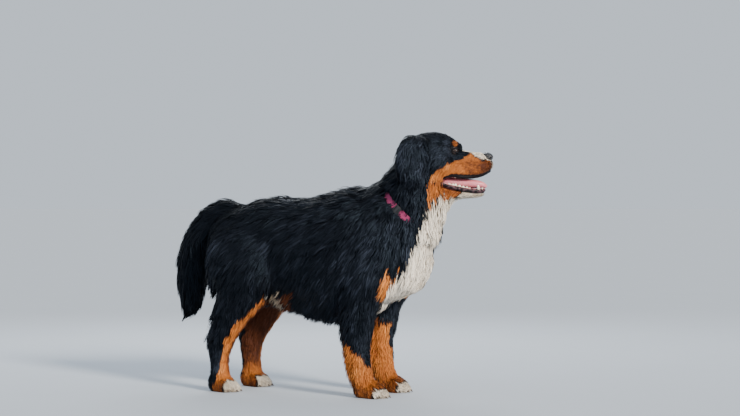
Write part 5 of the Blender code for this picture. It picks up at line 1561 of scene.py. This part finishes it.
def skin_material():
    """Short hair on the skin, dark moist lips, and inside the mouth pink mottled with near-black."""
    m = Material("skin", specular_ior_level=0.15)
    colour, _, _ = coat_colour(m, 0.35)
    lip, mouth = m.attribute("lip"), m.attribute("mouth")
    flesh = m.ramp(m.noise(75.0, 3.0), ((0.42, (0.034, 0.010, 0.013)), (0.68, (0.34, 0.10, 0.10))))
    mottled = m.ramp(m.noise(110.0, 3.0), ((0.46, 0.0), (0.70, 1.0))) * m.attribute("lower_lip")
    dark = m.mix((0.004, 0.003, 0.004), (0.120, 0.060, 0.072), mottled)
    m.set(base_color=m.mix(m.mix(colour, flesh, mouth), dark, lip))
    wet = m.node("ShaderNodeMath", {"operation": "MAXIMUM"}, {0: lip, 1: mouth})
    m.set(roughness=m.ramp(wet, ((0.0, 0.62), (1.0, 0.40))))
    m.bump(m.noise(700.0, 3.0), 0.0006, 0.5)
    return m.data


def eye_material():
    """A dark brown iris with fine rays round a black pupil, under a wet cornea."""
    m = Material("wet_eye", coat_weight=1.0, coat_roughness=0.02, specular_ior_level=0.1)
    off = m.attribute("off_axis")
    rays = m.noise(900.0, 3.0)
    iris = m.ramp(off + (rays - 0.5) * 0.10, (
        (0.00, (0.001, 0.001, 0.001)), (0.27, (0.001, 0.001, 0.001)), (0.31, (0.016, 0.005, 0.002)),
        (0.48, (0.045, 0.014, 0.004)), (0.62, (0.012, 0.005, 0.002)), (0.68, (0.008, 0.006, 0.005)),
        (0.82, (0.12, 0.08, 0.07)),
    ))
    m.set(base_color=iris, roughness=0.15)
    return m.data


def nose_material():
    """Moist black leather in small cells."""
    m = Material("nose_leather", specular_ior_level=0.55)
    inputs = {"Vector": m.where(), "Scale": 900.0}
    cells = m.node("ShaderNodeTexVoronoi", {"feature": "DISTANCE_TO_EDGE"}, inputs)
    m.set(base_color=m.mix((0.006, 0.006, 0.007), (0.022, 0.021, 0.023), m.noise(300.0)))
    m.set(roughness=m.ramp(m.noise(240.0), ((0.3, 0.22), (0.7, 0.38))))
    m.bump(m.ramp(cells, ((0.0, 0.0), (0.12, 1.0))), 0.0004, 0.7)
    return m.data


def tongue_material():
    """Wet pink with fine papillae."""
    m = Material("tongue_flesh", specular_ior_level=0.5, subsurface_weight=0.15, subsurface_scale=0.004)
    m.set(base_color=m.mix((0.60, 0.16, 0.19), (0.78, 0.27, 0.30), m.noise(120.0, 3.0)))
    m.set(roughness=m.ramp(m.noise(200.0), ((0.3, 0.24), (0.7, 0.42))))
    m.bump(m.noise(1400.0, 2.0), 0.0003, 0.6)
    return m.data


def teeth_material():
    """Ivory, a little darker in patches."""
    m = Material("ivory", specular_ior_level=0.5, coat_weight=0.3, coat_roughness=0.15)
    m.set(base_color=m.mix((0.62, 0.52, 0.36), (0.86, 0.80, 0.66), m.noise(220.0, 3.0)), roughness=0.28)
    return m.data


def gum_material():
    """Mottled gum, pink and dark."""
    m = Material("gum", specular_ior_level=0.5)
    pink = m.ramp(m.noise(70.0, 3.0), ((0.35, 0.0), (0.62, 1.0)))
    m.set(base_color=m.mix((0.10, 0.028, 0.032), (0.52, 0.19, 0.19), pink))
    m.set(roughness=0.28)
    m.bump(m.noise(500.0), 0.0003, 0.5)
    return m.data


def claw_material():
    """Dark horn, paler in patches, with a fine grain."""
    m = Material("claw_horn", specular_ior_level=0.5)
    m.set(base_color=m.mix((0.030, 0.022, 0.018), (0.12, 0.085, 0.06), m.noise(140.0, 3.0)), roughness=0.34)
    m.bump(m.noise(900.0), 0.0002, 0.5)
    return m.data


def webbing_material():
    """Crimson webbing: ribs along the strap crossed by the weft, slightly worn in patches."""
    m = Material("webbing", specular_ior_level=0.35, sheen_weight=0.2, sheen_roughness=0.4)
    place = m.node("ShaderNodeUVMap", {"uv_map": "webbing"})
    parts = m.node("ShaderNodeSeparateXYZ", None, {0: place})
    across = m.node("ShaderNodeSeparateXYZ", None, {0: place}, output=1)
    rib = m.node("ShaderNodeMath", {"operation": "SINE"}, {0: across * (2 * math.pi / 0.0016)})
    weft = m.node("ShaderNodeMath", {"operation": "SINE"}, {0: parts * (2 * math.pi / 0.0020) + rib * 1.2})
    weave = rib * 0.3 + weft * 0.2 + 0.5
    worn = m.noise(160.0, 4.0)
    colour = m.mix((0.20, 0.012, 0.060), (0.42, 0.045, 0.150), weave)
    m.set(base_color=m.mix(colour, (0.34, 0.10, 0.17), m.ramp(worn, ((0.5, 0.0), (0.8, 0.5)))))
    m.set(roughness=m.ramp(worn, ((0.3, 0.62), (0.7, 0.82))))
    m.bump(weave, 0.0005, 0.8)
    return m.data


def buckle_material():
    """Black moulded plastic with a fine grain."""
    m = Material("moulded_plastic", specular_ior_level=0.5)
    m.set(base_color=m.mix((0.011, 0.011, 0.013), (0.024, 0.024, 0.026), m.noise(300.0, 3.0)))
    m.set(roughness=m.ramp(m.noise(500.0), ((0.3, 0.36), (0.7, 0.50))))
    m.bump(m.noise(2200.0, 1.0), 0.0001, 0.4)
    return m.data


def floor_material():
    """A pale plain studio floor."""
    m = Material("pale_floor", specular_ior_level=0.3)
    m.set(base_color=m.mix((0.462, 0.503, 0.550), (0.482, 0.523, 0.570), m.noise(3.0)), roughness=0.9)
    return m.data


# The scene round the dog

CAMERA_TURN = math.radians(22.0)
CAMERA_AWAY = 6.0
CAMERA_HEIGHT = 0.66
CAMERA_PITCH = math.radians(0.35)
CAMERA_LENS = 88.5
CAMERA_AIM = (0.181, 0.0)


def make_camera(shift):
    """The camera at the photo's viewing angle and framing."""
    data = bpy.data.cameras.new("camera")
    data.lens = CAMERA_LENS
    data.sensor_width = 36.0
    camera = bpy.data.objects.new("camera", data)
    bpy.context.scene.collection.objects.link(camera)
    aim = Vector((CAMERA_AIM[0] + shift.x, CAMERA_AIM[1] + shift.y, 0))
    way = Vector((-math.sin(CAMERA_TURN), math.cos(CAMERA_TURN), 0))
    camera.location = aim - way * CAMERA_AWAY + Vector((0, 0, CAMERA_HEIGHT + shift.z))
    ahead = way - Vector((0, 0, math.tan(CAMERA_PITCH)))
    camera.rotation_euler = ahead.to_track_quat("-Z", "Y").to_euler()
    data.clip_end = 100.0
    bpy.context.scene.camera = camera


def add_light(name, kind, place, aim, power, colour, size):
    data = bpy.data.lights.new(name, kind)
    data.energy = power
    data.color = colour
    if kind == "SUN":
        data.angle = size
    else:
        data.shape = "RECTANGLE"
        data.size, data.size_y = size
    light = bpy.data.objects.new(name, data)
    bpy.context.scene.collection.objects.link(light)
    light.location = place
    light.rotation_euler = (Vector(aim) - Vector(place)).to_track_quat("-Z", "Y").to_euler()


def make_stage():
    """A pale floor, soft studio light from the front of the dog and above, and a pale surround."""
    mesh = bpy.data.meshes.new("floor")
    bm = bmesh.new()
    bmesh.ops.create_grid(bm, x_segments=1, y_segments=1, size=400.0)
    bm.to_mesh(mesh)
    bm.free()
    floor = bpy.data.objects.new("floor", mesh)
    bpy.context.scene.collection.objects.link(floor)
    mesh.materials.append(floor_material())
    add_light("key", "SUN", (3.0, -1.9, 1.5), (0, 0, 0), 6.0, (1.0, 0.93, 0.84), math.radians(12.0))
    add_light("rim", "AREA", (-1.2, 2.4, 2.4), (0, 0, 0.5), 60, (0.92, 0.96, 1.0), (2.0, 1.2))
    world = bpy.data.worlds.new("surround")
    world.use_nodes = True
    world.node_tree.nodes["Background"].inputs["Color"].default_value = (0.80, 0.89, 1.0, 1)
    world.node_tree.nodes["Background"].inputs["Strength"].default_value = 0.85
    bpy.context.scene.world = world


# Putting it together

FLESH = [
    "torso", "neck", "head", "lower_jaw", "ear_right", "ear_left", "tail",
    "foreleg_right", "foreleg_left", "hindleg_right", "hindleg_left",
    "forepaw_right", "forepaw_left", "hindpaw_right", "hindpaw_left",
]


def unwrap(obj):
    """An unwrap of the skin's own shape."""
    bpy.ops.object.select_all(action="DESELECT")
    obj.select_set(True)
    bpy.context.view_layer.objects.active = obj
    obj.data.uv_layers.new(name="OFBake")
    bpy.ops.object.mode_set(mode="EDIT")
    bpy.ops.mesh.select_all(action="SELECT")
    bpy.ops.uv.smart_project(angle_limit=math.radians(70), island_margin=0.0005)
    bpy.ops.object.mode_set(mode="OBJECT")


def marked(skin, tree):
    """The skin with its markings stored at its points."""
    points, normals, _, _ = skin_arrays(skin)
    rust, white = markings(points)
    lip, mouth, lower = mouth_masks(points, normals, tree)
    fields = {"rust": rust, "white": white, "lip": lip, "mouth": mouth, "lower_lip": lower}
    for name, values in fields.items():
        set_attribute(skin.data, name, values)
    set_attribute(skin.data, "tint", 0.5 + 0.2 * ripple(points, 0.02, SEED))
    skin.data.shade_smooth()


def frame_shift():
    """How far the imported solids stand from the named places, read from the right eye."""
    low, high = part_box("eye_right")
    return (low + high) / 2 - HEAD @ Vector((EYE_AT.x, -EYE_AT.y, EYE_AT.z))


def make_dog(shift):
    """Every piece of the dog, moved onto the solids and riding on the one body."""
    skin = make_skin()
    unwrap(skin)
    points, _, corners, _ = skin_arrays(skin)
    tree = BVHTree.FromPolygons(points.tolist(), corners.tolist())
    marked(skin, tree)
    coat = make_coat(skin, tree)
    made = [(skin, skin_material(), "black_coat", FLESH)]
    hair = coat_material()
    made += [(piece, hair, "black_coat", []) for piece in coat]
    wet_eye = eye_material()
    for s, side in ((-1, "right"), (1, "left")):
        made.append((make_eye("iris_" + side, s), wet_eye, "eye", ["eye_" + side]))
    made += [
        (make_nose(), nose_material(), "nose_leather", ["nose"]),
        (make_tongue(), tongue_material(), "tongue_flesh", ["tongue"]),
        (make_teeth(), teeth_material(), None, []),
        (make_gums(), gum_material(), None, []),
        (make_claws(), claw_material(), None, []),
        (make_strap(), webbing_material(), "webbing", ["collar_strap"]),
        (make_buckle(), buckle_material(), "buckle_plastic", ["collar_buckle"]),
    ]
    for obj, finish, slot, nodes in made:
        obj.data.materials.clear()
        obj.data.materials.append(finish)
        obj.data.transform(Matrix.Translation(shift))
        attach(obj, "root")
        if nodes:
            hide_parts(*nodes)


SHIFT = frame_shift()
make_dog(SHIFT)
make_stage()
make_camera(SHIFT)
